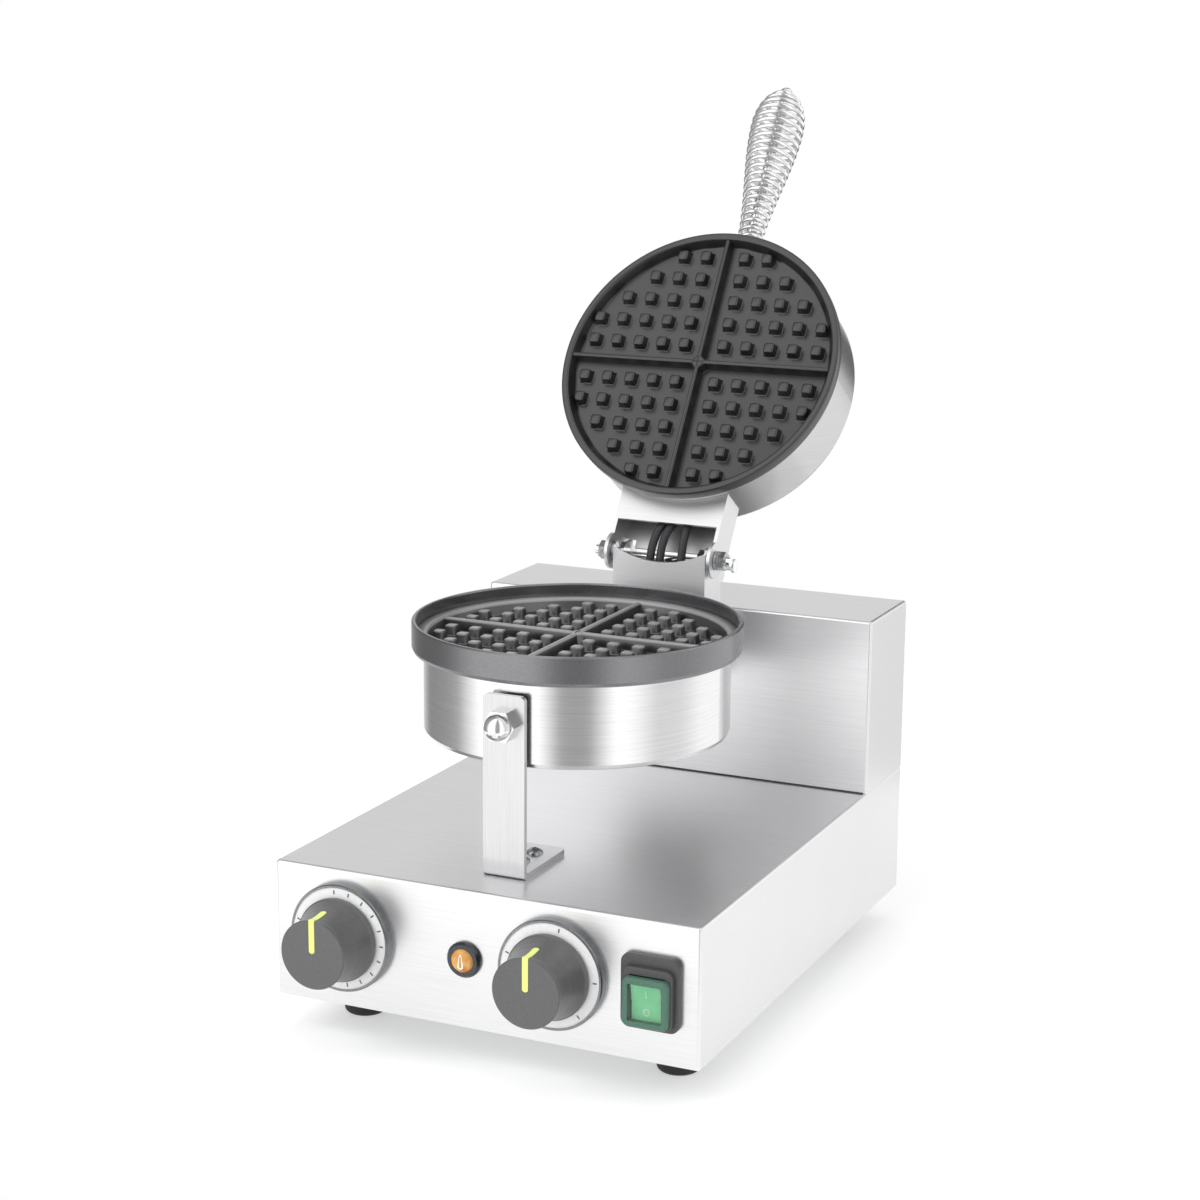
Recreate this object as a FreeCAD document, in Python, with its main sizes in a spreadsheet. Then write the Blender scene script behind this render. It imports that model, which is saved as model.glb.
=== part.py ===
"""Round counter-top waffle maker with a lift-up lid, modelled piece by piece in millimetres.

+X is to the right seen from the front, +Y to the back, +Z up. The feet stand on z = 0, and the
origin is under the middle of the box that holds the whole machine with its lid open.
"""
import FreeCAD, Part
import Sketcher
import math
import os

doc = FreeCAD.newDocument("WaffleMaker")
Vector = FreeCAD.Vector

# Driving dimensions, in millimetres and degrees
DIMENSIONS = {
    "origin_back": 202.17,     # the origin lies this far behind the front panel
    "sheet": 1.2,              # stainless sheet
    "fold": 1.8,               # outside radius of a folded edge
    "lip": 14.0,               # folded-in lip round the open side of a shell
    "foot_height": 21.3,
    "foot_radius": 12.2,
    "foot_inset": 30.0,        # from the base's sides
    "foot_back": 44.6,         # from the base's front and back
    "base_width": 253.0,
    "base_depth": 325.0,
    "base_height": 77.5,
    "column_depth": 67.0,
    "column_height": 106.0,
    "plate_back": 119.0,       # middle of the plates, behind the front panel
    "meeting_height": 194.6,   # where the plates meet, above the base shell's lower edge
    "rim_height": 17.0,
    "rim_radius": 93.0,
    "rim_inner": 90.2,
    "rim_rise": 7.4,          # rim above the face that the lid meets
    "ring_inner": 84.6,        # inner radius of the face ring
    "floor_radius": 82.0,
    "floor_depth": 7.2,
    "web_thickness": 10.8,
    "spigot_radius": 84.2,
    "drum_radius": 86.3,
    "drum_height": 47.0,
    "lid_radius": 88.8,
    "lid_flange": 8.0,
    "lid_drum_radius": 86.5,
    "lid_drum_height": 42.0,
    "meeting_gap": 0.4,        # between the closed plates
    "peg_first": 12.7,
    "peg_pitch": 15.1,
    "peg_base": 7.4,
    "peg_top": 6.4,
    "peg_height": 6.0,
    "peg_field": 81.4,
    "rib_base": 4.4,
    "rib_top": 2.4,
    "boss_half": 5.2,          # half the diagonal of the block where the ribs cross
    "pivot_back": 239.5,
    "pivot_height": 215.6,
    "lid_open": 123.3,         # turn from closed to the open stop
    "hinge_inside": 28.0,      # half the clear width inside the lower bracket
    "hinge_sheet": 2.0,
    "hinge_gap": 2.3,          # between the cheeks of the two brackets
    "web_rise": 3.8,           # upper corners of the front web, above the pivot
    "web_dip": 6.7,            # how far its upper edge dips in the middle
    "hinge_low": 140.0,        # lower edge of the lower bracket
    "hinge_front": 7.0,       # front web of the lower bracket, ahead of the pivot
    "arm_low": 6.0,            # the lid's bracket reaches this far below the pivot
    "arm_high": 16.0,          # and this far above it
    "pivot_radius": 3.0,
    "pivot_clearance": 0.06,
    "stop_radius": 3.0,
    "stop_gap": 0.3,
    "stop_along": 5.0,
    "lead_radius": 2.5,
    "lead_height": 3.0,        # where the leads leave the lid, above the pivot when closed
    "lead_run": 1.0,           # their upright run, from the pivot
    "lead_drop": 42.0,         # where they enter the column, below the pivot
    "conduit_height": 154.0,
    "post_width": 24.8,
    "post_sheet": 3.0,
    "post_front": 27.0,
    "post_top": 179.0,
    "post_foot": 52.0,
    "post_bolt_height": 163.0,
    "control_height": 40.0,    # centre line of the controls
    "timer_side": -84.0,
    "thermostat_side": 43.0,
    "lamp_side": -9.5,
    "lamp_height": 38.8,
    "switch_side": 99.6,
    "dial_radius": 30.5,
    "dial_thickness": 5.6,
    "knob_radius": 23.6,
    "knob_face": 19.4,
    "knob_waist": 18.4,
    "knob_depth": 27.0,
    "shaft_radius": 3.0,
    "switch_width": 33.0,
    "switch_height": 40.5,
    "handle_back": 33.0,       # handle axis behind the lid's cooking face
    "handle_collar": 5.0,
    "handle_straight": 92.0,   # widening part of the coil
    "handle_end": 26.0,        # rounded end of the coil
    "handle_thick": 15.8,      # largest radius of the coil's centre line
    "handle_thin": 6.8,        # radius of the coil's centre line at the collar
    "handle_wire": 2.3,
    "handle_turns": 26.0,
    "gland_side": 85.0,
    "gland_height": 34.0,
    "gland_bore": 4.1,
}

sheet = doc.addObject("Spreadsheet::Sheet", "Dims")
for row, (alias, value) in enumerate(DIMENSIONS.items(), start=1):
    sheet.set(f"A{row}", alias)
    sheet.set(f"B{row}", str(value))
    sheet.setAlias(f"B{row}", alias)
doc.recompute()


class Size:
    """A size with its value and the expression on the sheet that gives it."""

    def __init__(self, value, text):
        self.value = float(value)
        self.text = text

    def joined(self, other, sign, value):
        return Size(value, f"({self.text} {sign} {other.text})")

    def __add__(self, other):
        other = size(other)
        return self.joined(other, "+", self.value + other.value)

    def __sub__(self, other):
        other = size(other)
        return self.joined(other, "-", self.value - other.value)

    def __mul__(self, other):
        other = size(other)
        return self.joined(other, "*", self.value * other.value)

    def __truediv__(self, other):
        other = size(other)
        return self.joined(other, "/", self.value / other.value)

    def __radd__(self, other):
        return size(other) + self

    def __rsub__(self, other):
        return size(other) - self

    def __rmul__(self, other):
        return size(other) * self

    def __neg__(self):
        return Size(-self.value, f"(-1 * {self.text})")


def size(number):
    """A plain number as a Size; a Size stays as it is."""
    return number if isinstance(number, Size) else Size(number, f"{number:g}")


class Sheet:
    """The sheet's cells by their aliases."""

    def __getattr__(self, alias):
        return Size(DIMENSIONS[alias], f"Dims.{alias}")


D = Sheet()
pieces = []


def bind(thing, prop, amount):
    """Ties one property to the sheet."""
    thing.setExpression(prop, size(amount).text)


def place(thing, x=0, y=0, z=0, axis=None, angle=0):
    """Puts a thing at sizes measured from the middle, the front panel and the shell's lower edge."""
    if axis:
        thing.Placement = FreeCAD.Placement(Vector(), FreeCAD.Rotation(Vector(*axis), angle))
    bind(thing, "Placement.Base.x", x)
    bind(thing, "Placement.Base.y", size(y) - D.origin_back)
    bind(thing, "Placement.Base.z", size(z) + D.foot_height)
    return thing


def put(thing, x, y, z):
    """Puts a building block at sizes in its own piece's frame."""
    bind(thing, "Placement.Base.x", x)
    bind(thing, "Placement.Base.y", y)
    bind(thing, "Placement.Base.z", z)
    return thing


def piece(thing, label):
    """Marks a finished sub-part and gives it the name of its file."""
    thing.Label = label
    pieces.append(thing)
    return thing


def box(x, y, z, length, width, height):
    """A block with its lowest corner at x, y, z."""
    made = doc.addObject("Part::Box", "Block")
    bind(made, "Length", length)
    bind(made, "Width", width)
    bind(made, "Height", height)
    return put(made, x, y, z)


TURNS = {"x": ((0, 1, 0), 90), "y": ((1, 0, 0), -90), "z": None}


def cylinder(x, y, z, radius, height, along="z"):
    """A round bar that starts at x, y, z and runs along +X, +Y or +Z."""
    made = doc.addObject("Part::Cylinder", "Round")
    bind(made, "Radius", radius)
    bind(made, "Height", height)
    if TURNS[along]:
        axis, angle = TURNS[along]
        made.Placement = FreeCAD.Placement(Vector(), FreeCAD.Rotation(Vector(*axis), angle))
    return put(made, x, y, z)


def hexagon(x, y, z, across, height, along="z"):
    """A six-sided bar, such as a nut, of the given width across its flats."""
    made = doc.addObject("Part::Prism", "Hex")
    made.Polygon = 6
    bind(made, "Circumradius", size(across) / math.sqrt(3))
    bind(made, "Height", height)
    if TURNS[along]:
        axis, angle = TURNS[along]
        made.Placement = FreeCAD.Placement(Vector(), FreeCAD.Rotation(Vector(*axis), angle))
    return put(made, x, y, z)


def dome(x, y, z, radius):
    """A ball."""
    made = doc.addObject("Part::Sphere", "Ball")
    bind(made, "Radius", radius)
    return put(made, x, y, z)


def group(kind, things):
    made = doc.addObject(kind, "Joined")
    made.Shapes = things
    return made


def fuse(*things):
    return things[0] if len(things) == 1 else group("Part::MultiFuse", list(things))


def together(*things):
    """Separate solids that share one node."""
    made = doc.addObject("Part::Compound", "Set")
    made.Links = list(things)
    return made


def cut(base, *tools):
    made = doc.addObject("Part::Cut", "Trimmed")
    made.Base = base
    made.Tool = fuse(*tools)
    return made


def common(first, second):
    made = doc.addObject("Part::Common", "Shared")
    made.Base = first
    made.Tool = second
    return made


def rounded(thing, radius, wanted):
    """The thing with every edge that wanted() accepts rounded."""
    doc.recompute()
    numbers = [n for n, edge in enumerate(thing.Shape.Edges, start=1) if wanted(edge)]
    value = size(radius).value
    made = doc.addObject("Part::Fillet", "Eased")
    made.Base = thing
    made.Edges = [(n, value, value) for n in numbers]
    return made


def upright(edge):
    """An edge that runs along Z."""
    first, last = edge.Vertexes[0].Point, edge.Vertexes[-1].Point
    return len(edge.Vertexes) == 2 and abs(last.z - first.z) > 0.99 * edge.Length


def along_y(edge):
    first, last = edge.Vertexes[0].Point, edge.Vertexes[-1].Point
    return len(edge.Vertexes) == 2 and abs(last.y - first.y) > 0.99 * edge.Length


def at_top(thing):
    """Accepts edges that lie in the thing's highest plane."""
    doc.recompute()
    top = thing.Shape.BoundBox.ZMax
    return lambda edge: abs(edge.BoundBox.ZMin - top) < 1e-6


def outline(body, role, points):
    """A closed sketch of straight lines whose corners are tied to the sheet."""
    sketch = body.newObject("Sketcher::SketchObject", "Outline")
    plane = [f for f in body.Origin.OriginFeatures if f.Role == role][0]
    sketch.AttachmentSupport = [(plane, "")]
    sketch.MapMode = "FlatFace"
    corners = [Vector(size(a).value, size(b).value, 0) for a, b in points]
    count = len(corners)
    for n in range(count):
        sketch.addGeometry(Part.LineSegment(corners[n], corners[(n + 1) % count]), False)
    for n, (a, b) in enumerate(points):
        sketch.addConstraint(Sketcher.Constraint("Coincident", n, 1, (n - 1) % count, 2))
        for kind, amount in (("DistanceX", size(a)), ("DistanceY", size(b))):
            index = sketch.addConstraint(Sketcher.Constraint(kind, -1, 1, n, 1, amount.value))
            sketch.setExpression(f"Constraints[{index}]", amount.text)
    return sketch


def turned(points):
    """A body turned about its own Z axis from an outline of radii and heights."""
    body = doc.addObject("PartDesign::Body", "Turned")
    sketch = outline(body, "XZ_Plane", points)
    turn = body.newObject("PartDesign::Revolution", "Turn")
    turn.Profile = sketch
    turn.ReferenceAxis = (sketch, ["V_Axis"])
    turn.Angle = 360.0
    return body


def padded(role, points, thickness):
    """A body of even thickness, centred on its sketch plane."""
    body = doc.addObject("PartDesign::Body", "Plate")
    sketch = outline(body, role, points)
    pad = body.newObject("PartDesign::Pad", "Pad")
    pad.Profile = sketch
    pad.Midplane = True
    bind(pad, "Length", thickness)
    return body


def sine(angle):
    return Size(math.sin(math.radians(angle.value)), f"sin({angle.text} * 1 deg)")


def cosine(angle):
    return Size(math.cos(math.radians(angle.value)), f"cos({angle.text} * 1 deg)")


def on_lid(thing, y=0, z=0):
    """Turns a piece drawn on the closed lid, from the pivot, to the open stop."""
    turn = FreeCAD.Rotation(Vector(-1, 0, 0), D.lid_open.value)
    thing.Placement = FreeCAD.Placement(Vector(), turn)
    y, z = size(y), size(z)
    across, down = cosine(D.lid_open), sine(D.lid_open)
    thing.setExpression("Placement.Rotation.Angle", "Dims.lid_open * 1 deg")
    bind(thing, "Placement.Base.y", D.pivot_back - D.origin_back + y * across + z * down)
    bind(thing, "Placement.Base.z", D.pivot_height + D.foot_height + z * across - y * down)
    return thing


def screw(x, y, z, along, head_radius, head, shank_radius, shank, back=False):
    """A pan-headed screw; the shank starts at x, y, z and the head sits on that point."""
    shift = {"x": (1, 0, 0), "y": (0, 1, 0), "z": (0, 0, 1)}[along]
    step = shank if back else head
    low = [size(a) - step * s for a, s in zip((x, y, z), shift)]
    start = [x, y, z]
    if back:
        body = cylinder(*low, shank_radius, shank, along)
        top = cylinder(*start, head_radius, head, along)
    else:
        body = cylinder(*start, shank_radius, shank, along)
        top = cylinder(*low, head_radius, head, along)
    return fuse(body, top)


# Base: shell, bottom cover, feet
half_width = D.base_width / 2
top_plane = D.base_height
column_front = D.base_depth - D.column_depth

shell = box(-half_width, 0, 0, D.base_width, D.base_depth, D.base_height)
top_test = at_top(shell)
shell = rounded(shell, D.fold, lambda edge: upright(edge) or top_test(edge))
hollow = box(D.sheet - half_width, D.sheet, D.sheet,
             D.base_width - 2 * D.sheet, D.base_depth - 2 * D.sheet, D.base_height - 2 * D.sheet)
opening = box(D.lip - half_width, D.lip, -1, D.base_width - 2 * D.lip, D.base_depth - 2 * D.lip, 4)
shell_holes = [hollow, opening]
for side in (D.timer_side, D.thermostat_side):
    shell_holes.append(cylinder(side, -1, D.control_height, 5, 4, "y"))
shell_holes.append(cylinder(D.lamp_side, -1, D.lamp_height, 6.2, 4, "y"))
shell_holes.append(box(D.switch_side - 14.2, -1, D.control_height - 19.1, 28.4, 4, 29.4))
post_screws = [(0, D.post_front + 22), (0, D.post_front + 38)]
for x, y in post_screws:
    shell_holes.append(cylinder(x, y, D.base_height - 4, 2.1, 8))
column_fixings = [(-100, column_front + 8), (100, column_front + 8),
                  (-100, D.base_depth - 10), (100, D.base_depth - 10)]
for x, y in column_fixings:
    shell_holes.append(cylinder(x, y, D.base_height - 4, 2.1, 8))
shell_holes.append(cylinder(0, column_front + 34, D.base_height - 4, 16, 8))
shell_holes.append(cylinder(D.gland_side, D.base_depth - 4, D.gland_height, 8.1, 8, "y"))
feet_at = [(sx * (half_width - D.foot_inset), y)
           for sx in (-1, 1) for y in (D.foot_back, D.base_depth - D.foot_back)]
cover_inset = 3
for x, y in feet_at:
    shell_holes.append(cylinder(x, y, -1, 2.1, 4))
base_shell = piece(place(cut(shell, *shell_holes)), "base_shell")

cover = box(cover_inset - half_width, cover_inset, -D.sheet,
            D.base_width - 2 * cover_inset, D.base_depth - 2 * cover_inset, D.sheet)
cover_holes = [cylinder(x, y, -4, 2.1, 8) for x, y in feet_at]
for n in range(7):
    for x in (-70, 20):
        cover_holes.append(box(x, 110 + 16 * n, -4, 50, 4, 8))
piece(place(cut(cover, *cover_holes)), "bottom_cover")

feet, foot_fixings = [], []
for x, y in feet_at:
    foot = cylinder(x, y, -D.foot_height, D.foot_radius, D.foot_height - D.sheet)
    foot = rounded(foot, 3.4, lambda edge: edge.BoundBox.ZMax < -D.foot_height.value + 0.01)
    feet.append(cut(foot, cylinder(x, y, -D.foot_height - 1, 5, D.foot_height - 4),
                    cylinder(x, y, -D.foot_height - 1, 2.1, 25)))
    foot_fixings.append(screw(x, y, -5, "z", 4.2, 2.4, 2, 12))
    foot_fixings.append(cut(hexagon(x, y, D.sheet, 7, 3.2), cylinder(x, y, 0, 2, 8)))
piece(place(together(*feet)), "rubber_feet")
piece(place(together(*foot_fixings)), "foot_fixings")

# Column behind the plates
column = box(-half_width, column_front, top_plane, D.base_width, D.column_depth, D.column_height)
column_top = at_top(column)
column = rounded(column, D.fold, lambda edge: upright(edge) or column_top(edge))
column_hollow = box(D.sheet - half_width, column_front + D.sheet, top_plane + D.sheet,
                    D.base_width - 2 * D.sheet, D.column_depth - 2 * D.sheet,
                    D.column_height - 2 * D.sheet)
column_open = box(D.lip - half_width, column_front + D.lip, top_plane - 1,
                  D.base_width - 2 * D.lip, D.column_depth - 2 * D.lip, 4)
column_back = box(D.lip - half_width, D.base_depth - 3, top_plane + D.lip,
                  D.base_width - 2 * D.lip, 6, D.column_height - 2 * D.lip)
column_holes = [column_hollow, column_open, column_back]
for x, y in column_fixings:
    column_holes.append(cylinder(x, y, top_plane - 4, 2.1, 8))
bracket_screws = [(sx * 21, D.hinge_low + dz) for sx in (-1, 1) for dz in (8, 20)]
for x, z in bracket_screws:
    column_holes.append(cylinder(x, column_front - 4, z, 2.1, 8, "y"))
lead_level = D.pivot_height - D.lead_drop
column_holes.append(box(-24, column_front - 4, lead_level - 6, 48, 8, 12))
back_screws = [(sx * (half_width - 9), top_plane + z) for sx in (-1, 1) for z in (9, 54, 99)]
for x, z in back_screws:
    column_holes.append(cylinder(x, D.base_depth - 4, z, 1.7, 8, "y"))
piece(place(cut(column, *column_holes)), "column_shell")

back = box(cover_inset - half_width, D.base_depth, top_plane + cover_inset,
           D.base_width - 2 * cover_inset, D.sheet, D.column_height - 2 * cover_inset)
back_holes = [cylinder(x, D.base_depth - 4, z, 1.7, 8, "y") for x, z in back_screws]
for n in range(5):
    for x in (-85, -20, 45):
        back_holes.append(box(x, D.base_depth - 4, top_plane + 28 + 12 * n, 40, 8, 3.5))
piece(place(cut(back, *back_holes)), "column_back_cover")
column_screws = [screw(x, D.base_depth + D.sheet, z, "y", 3.4, 2.2, 1.6, 6, back=True)
                 for x, z in back_screws]
for x, y in column_fixings:
    column_screws.append(screw(x, y, top_plane - D.sheet, "z", 3.8, 2.4, 2, 7))
    column_screws.append(cut(hexagon(x, y, top_plane + D.sheet, 7, 3.2),
                             cylinder(x, y, top_plane, 2, 8)))
piece(place(together(*column_screws)), "column_fixings")

# Front post that carries the lower drum
post_back = D.post_front + D.post_sheet
post = padded("YZ_Plane", [
    (D.post_front, top_plane), (D.post_front + D.post_foot, top_plane),
    (D.post_front + D.post_foot, top_plane + D.post_sheet),
    (post_back, top_plane + D.post_sheet), (post_back, D.post_top), (D.post_front, D.post_top),
], D.post_width)


def bend_edge(edge):
    """The two edges of the post's fold."""
    middle = edge.BoundBox.Center
    inner = abs(middle.y - post_back.value) < 0.01
    inner = inner and abs(middle.z - top_plane.value - D.post_sheet.value) < 0.01
    outer = abs(middle.y - D.post_front.value) < 0.01 and abs(middle.z - top_plane.value) < 0.01
    return inner or outer


def post_corner(edge):
    """The short edges at the post's free ends."""
    middle = edge.BoundBox.Center
    high = edge.BoundBox.ZMin > D.post_top.value - 0.01 and edge.Length < D.post_sheet.value + 0.01
    far = middle.y > (D.post_front + D.post_foot).value - 0.01
    return high or (far and edge.Length < D.post_sheet.value + 0.01)


post = rounded(post, 2.2, bend_edge)
post = rounded(post, 3, post_corner)
post_tools = [cylinder(x, y, top_plane - 4, 2.1, 12) for x, y in post_screws]
post_tools.append(cylinder(0, D.post_front - 4, D.post_bolt_height, 3.1, 12, "y"))
piece(place(cut(post, *post_tools)), "front_post")

pan_heads = []
for x, y in post_screws:
    head_low = top_plane + D.post_sheet
    head = common(cylinder(x, y, head_low, 4.6, 3), dome(x, y, head_low - 3.2, 6))
    cross = fuse(box(x - 2.6, y - 0.5, head_low + 1.6, 5.2, 1, 3),
                 box(x - 0.5, y - 2.6, head_low + 1.6, 1, 5.2, 3))
    pan_heads.append(fuse(cut(head, cross), cylinder(x, y, head_low - 11, 2, 11)))
    pan_heads.append(cut(hexagon(x, y, top_plane - D.sheet - 3.2, 7, 3.2),
                         cylinder(x, y, top_plane - 8, 2, 8)))
piece(place(together(*pan_heads)), "post_screws")

drum_front = D.plate_back - D.drum_radius
spacer = cut(cylinder(0, post_back, D.post_bolt_height, 7, drum_front - post_back, "y"),
             cylinder(0, D.post_front, D.post_bolt_height, 3.05, 12, "y"))
post_bolt = fuse(cylinder(0, D.post_front - 6, D.post_bolt_height, 3, 20, "y"),
                 hexagon(0, drum_front + 5, D.post_bolt_height, 10, 4, "y"))
piece(place(together(post_bolt, spacer)), "post_bolt")
nut_low = D.post_front - 6.5
cap = fuse(hexagon(0, nut_low, D.post_bolt_height, 16, 6.5, "y"),
           common(dome(0, nut_low, D.post_bolt_height, 7.6),
                  cylinder(0, nut_low - 9, D.post_bolt_height, 7.6, 9.1, "y")))
piece(place(cut(cap, cylinder(0, nut_low - 1, D.post_bolt_height, 3, 9, "y"))), "post_cap_nut")

# Lower drum, plate and heater
flange_low = D.meeting_height + D.rim_rise - D.rim_height
drum_low = flange_low - D.drum_height
wall_inner = D.drum_radius - D.sheet
drum = turned([(0, 0), (D.drum_radius - 3, 0), (D.drum_radius - 0.9, 0.9), (D.drum_radius, 3),
               (D.drum_radius, D.drum_height), (wall_inner, D.drum_height), (wall_inner, 3.2),
               (wall_inner - 0.6, D.sheet + 0.6), (wall_inner - 2, D.sheet), (0, D.sheet)])
put(drum, 0, D.plate_back, drum_low)
conduit_level = D.conduit_height
drum_rear = D.plate_back + D.drum_radius
lower_drum = cut(drum, cylinder(0, drum_front - 4, D.post_bolt_height, 3.1, 12, "y"),
                 cylinder(0, drum_rear - 12, conduit_level, 8.1, 16, "y"),
                 cylinder(0, D.plate_back, drum_low - 1, 3.1, 4))
piece(place(lower_drum), "lower_drum")


def grid(upward):
    """Pegs and ribs of a cooking face, standing on the floor of its pocket."""
    sign = 1 if upward else -1
    floor = -sign * D.floor_depth.value

    def tapered(width, top_width, length, top_length, height, x, y, angle=0):
        wires = []
        for w, l, z in ((width, length, floor - sign), (top_width, top_length, floor + sign * height)):
            corners = [Vector(-w / 2, -l / 2, z), Vector(w / 2, -l / 2, z),
                       Vector(w / 2, l / 2, z), Vector(-w / 2, l / 2, z)]
            wires.append(Part.makePolygon(corners + corners[:1]))
        made = Part.makeLoft(wires, True, True)
        made.rotate(Vector(), Vector(0, 0, 1), angle)
        made.translate(Vector(x, y, 0))
        return made

    places = [D.peg_first.value + n * D.peg_pitch.value for n in range(5)]
    pegs = []
    for x in places:
        for y in places:
            if math.hypot(x, y) > D.peg_field.value - 1:
                continue
            for sx in (-1, 1):
                for sy in (-1, 1):
                    pegs.append(tapered(D.peg_base.value, D.peg_top.value, D.peg_base.value,
                                        D.peg_top.value, D.peg_height.value, sx * x, sy * y))
    low = min(floor - sign, floor + sign * D.peg_height.value)
    field = Part.makeCylinder(D.peg_field.value, D.peg_height.value + 1, Vector(0, 0, low))
    solids = [peg.common(field) for peg in pegs]
    reach = 2 * D.floor_radius.value + 4
    height = D.floor_depth.value - 0.4
    ribs = [tapered(reach, reach, D.rib_base.value, D.rib_top.value, height, 0, 0, angle)
            for angle in (0, 90)]
    boss = D.boss_half.value * math.sqrt(2)
    ribs.append(tapered(boss + 2, boss, boss + 2, boss, height, 0, 0, 45))
    solids.append(ribs[0].multiFuse(ribs[1:]))
    made = doc.addObject("Part::Feature", "Grid")
    made.Shape = Part.makeCompound([s for solid in solids for s in solid.Solids])
    return made


web_low = D.floor_depth + D.web_thickness
rim_drop = D.rim_height - D.rim_rise
lower_casting = turned([
    (0, -D.floor_depth), (D.floor_radius, -D.floor_depth), (D.ring_inner, 0), (D.rim_inner, 0),
    (D.rim_inner, -rim_drop), (D.spigot_radius, -rim_drop), (D.spigot_radius, -web_low), (0, -web_low)])
lower_rim = turned([
    (D.rim_inner, -rim_drop), (D.rim_radius - 2.6, -rim_drop), (D.rim_radius - 0.8, 0.8 - rim_drop),
    (D.rim_radius, 2.6 - rim_drop), (D.rim_radius, D.rim_rise - 0.8), (D.rim_radius - 0.7, D.rim_rise),
    (D.rim_inner + 0.7, D.rim_rise), (D.rim_inner, D.rim_rise - 0.8)])
piece(place(lower_rim, 0, D.plate_back, D.meeting_height), "lower_rim")
lower_plate = cut(fuse(lower_casting, grid(True)), cylinder(0, 0, -web_low - 1, 2.95, 5))
piece(place(lower_plate, 0, D.plate_back, D.meeting_height), "lower_plate")


def heater_set(names, level, way, stud_length, nut, setter):
    """Heating ring, insulation and stud behind a plate; way is -1 below, +1 above."""
    ring = doc.addObject("Part::Torus", "Ring")
    ring.Radius1 = 58
    ring.Radius2 = 4
    ring.Angle3 = 320
    ring.Placement = FreeCAD.Placement(Vector(), FreeCAD.Rotation(Vector(0, 0, 1), 110))
    ring_level = level + way * 4.1
    put(ring, 0, 0, ring_level)
    pins = []
    spots = [(58 * math.cos(math.radians(a)), 58 * math.sin(math.radians(a))) for a in (70, 110)]
    for x, y in spots:
        low = ring_level if way > 0 else ring_level - 20
        pins.append(cylinder(x, y, low, 3, 20))
    setter(fuse(ring, *pins), names[0])

    def disc(radius, thickness, near, label):
        low = level + way * near if way > 0 else level - near - thickness
        hollows = [cylinder(0, 0, low - 1, 3.2, thickness + 2)]
        for x, y in spots:
            hollows.append(cylinder(x, y, low - 1, 3.6, thickness + 2))
        setter(cut(cylinder(0, 0, low, radius, thickness), *hollows), label)

    disc(70, 8, 8.6, names[1])
    stud_low = level - 3.9 if way > 0 else level + 3.9 - stud_length
    setter(together(cylinder(0, 0, stud_low, 2.95, stud_length), nut), names[2])


def set_low(thing, label):
    piece(place(thing, 0, D.plate_back, D.meeting_height), label)


nut_top = drum_low - D.meeting_height
stud_nut = cut(hexagon(0, 0, nut_top - 5, 10, 5), cylinder(0, 0, nut_top - 6, 2.95, 7))
heater_set(("lower_heater", "lower_insulation", "lower_stud"), -web_low, -1, 44, stud_nut, set_low)

# Hinge: lower bracket on the column
cheek_low = D.hinge_low
cheek_out = D.hinge_inside + D.hinge_sheet
hinge_y = D.pivot_back - D.hinge_front
stop_out = D.arm_high + D.stop_radius + D.stop_gap
stop_back = D.pivot_back + stop_out * sine(D.lid_open) - D.stop_along * cosine(D.lid_open)
stop_high = D.pivot_height + stop_out * cosine(D.lid_open) + D.stop_along * sine(D.lid_open)
cheeks = []
for left in (-cheek_out, D.hinge_inside):
    tall = box(left, hinge_y, cheek_low, D.hinge_sheet, column_front - hinge_y,
               D.pivot_height + D.web_rise - cheek_low)
    ear = box(left, column_front - 3, stop_high - 11, D.hinge_sheet, stop_back - column_front + 9, 17)
    ear = rounded(ear, 5, lambda edge: edge.Length < D.hinge_sheet.value + 0.01
                  and edge.BoundBox.YMin > column_front.value)
    cheeks.append(fuse(tall, ear, cylinder(left, D.pivot_back, D.pivot_height, 7, D.hinge_sheet, "x")))
front_web = box(-cheek_out, hinge_y, cheek_low, 2 * cheek_out, D.hinge_sheet,
                D.pivot_height + D.web_rise - cheek_low)
back_plate = box(-cheek_out, column_front - D.hinge_sheet, cheek_low, 2 * cheek_out, D.hinge_sheet,
                 top_plane + D.column_height - cheek_low - 1)
scoop_radius = (D.hinge_inside * D.hinge_inside + D.web_dip * D.web_dip) / (2 * D.web_dip)
scoop_level = D.pivot_height + D.web_rise - D.web_dip + scoop_radius
bracket_tools = [
    cylinder(0, hinge_y - 4, scoop_level, scoop_radius, D.hinge_sheet + 6, "y"),
    cylinder(0, hinge_y - 4, conduit_level, 8.1, 10, "y"),
    box(-24, column_front - 6, lead_level - 6, 48, 8, 12),
    cylinder(-40, D.pivot_back, D.pivot_height, D.pivot_radius + 0.03, 80, "x"),
    cylinder(-40, stop_back, stop_high, D.stop_radius + 0.03, 80, "x"),
]
for x, z in bracket_screws:
    bracket_tools.append(cylinder(x, column_front - 6, z, 2.1, 8, "y"))
piece(place(cut(fuse(*cheeks, front_web, back_plate), *bracket_tools)), "hinge_base")

hinge_fixings = []
for x, z in bracket_screws:
    hinge_fixings.append(screw(x, column_front - D.hinge_sheet, z, "y", 3.8, 2.4, 2, 9))
    hinge_fixings.append(cut(hexagon(x, column_front + D.sheet, z, 7, 3.2, "y"),
                             cylinder(x, column_front, z, 2, 8, "y")))
piece(place(together(*hinge_fixings)), "hinge_base_fixings")
piece(place(fuse(cylinder(-38, stop_back, stop_high, D.stop_radius, 76, "x"),
                 cylinder(-39.5, stop_back, stop_high, 4.2, 1.7, "x"),
                 cylinder(37.8, stop_back, stop_high, 4.2, 1.7, "x"))), "stop_bar")

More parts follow.
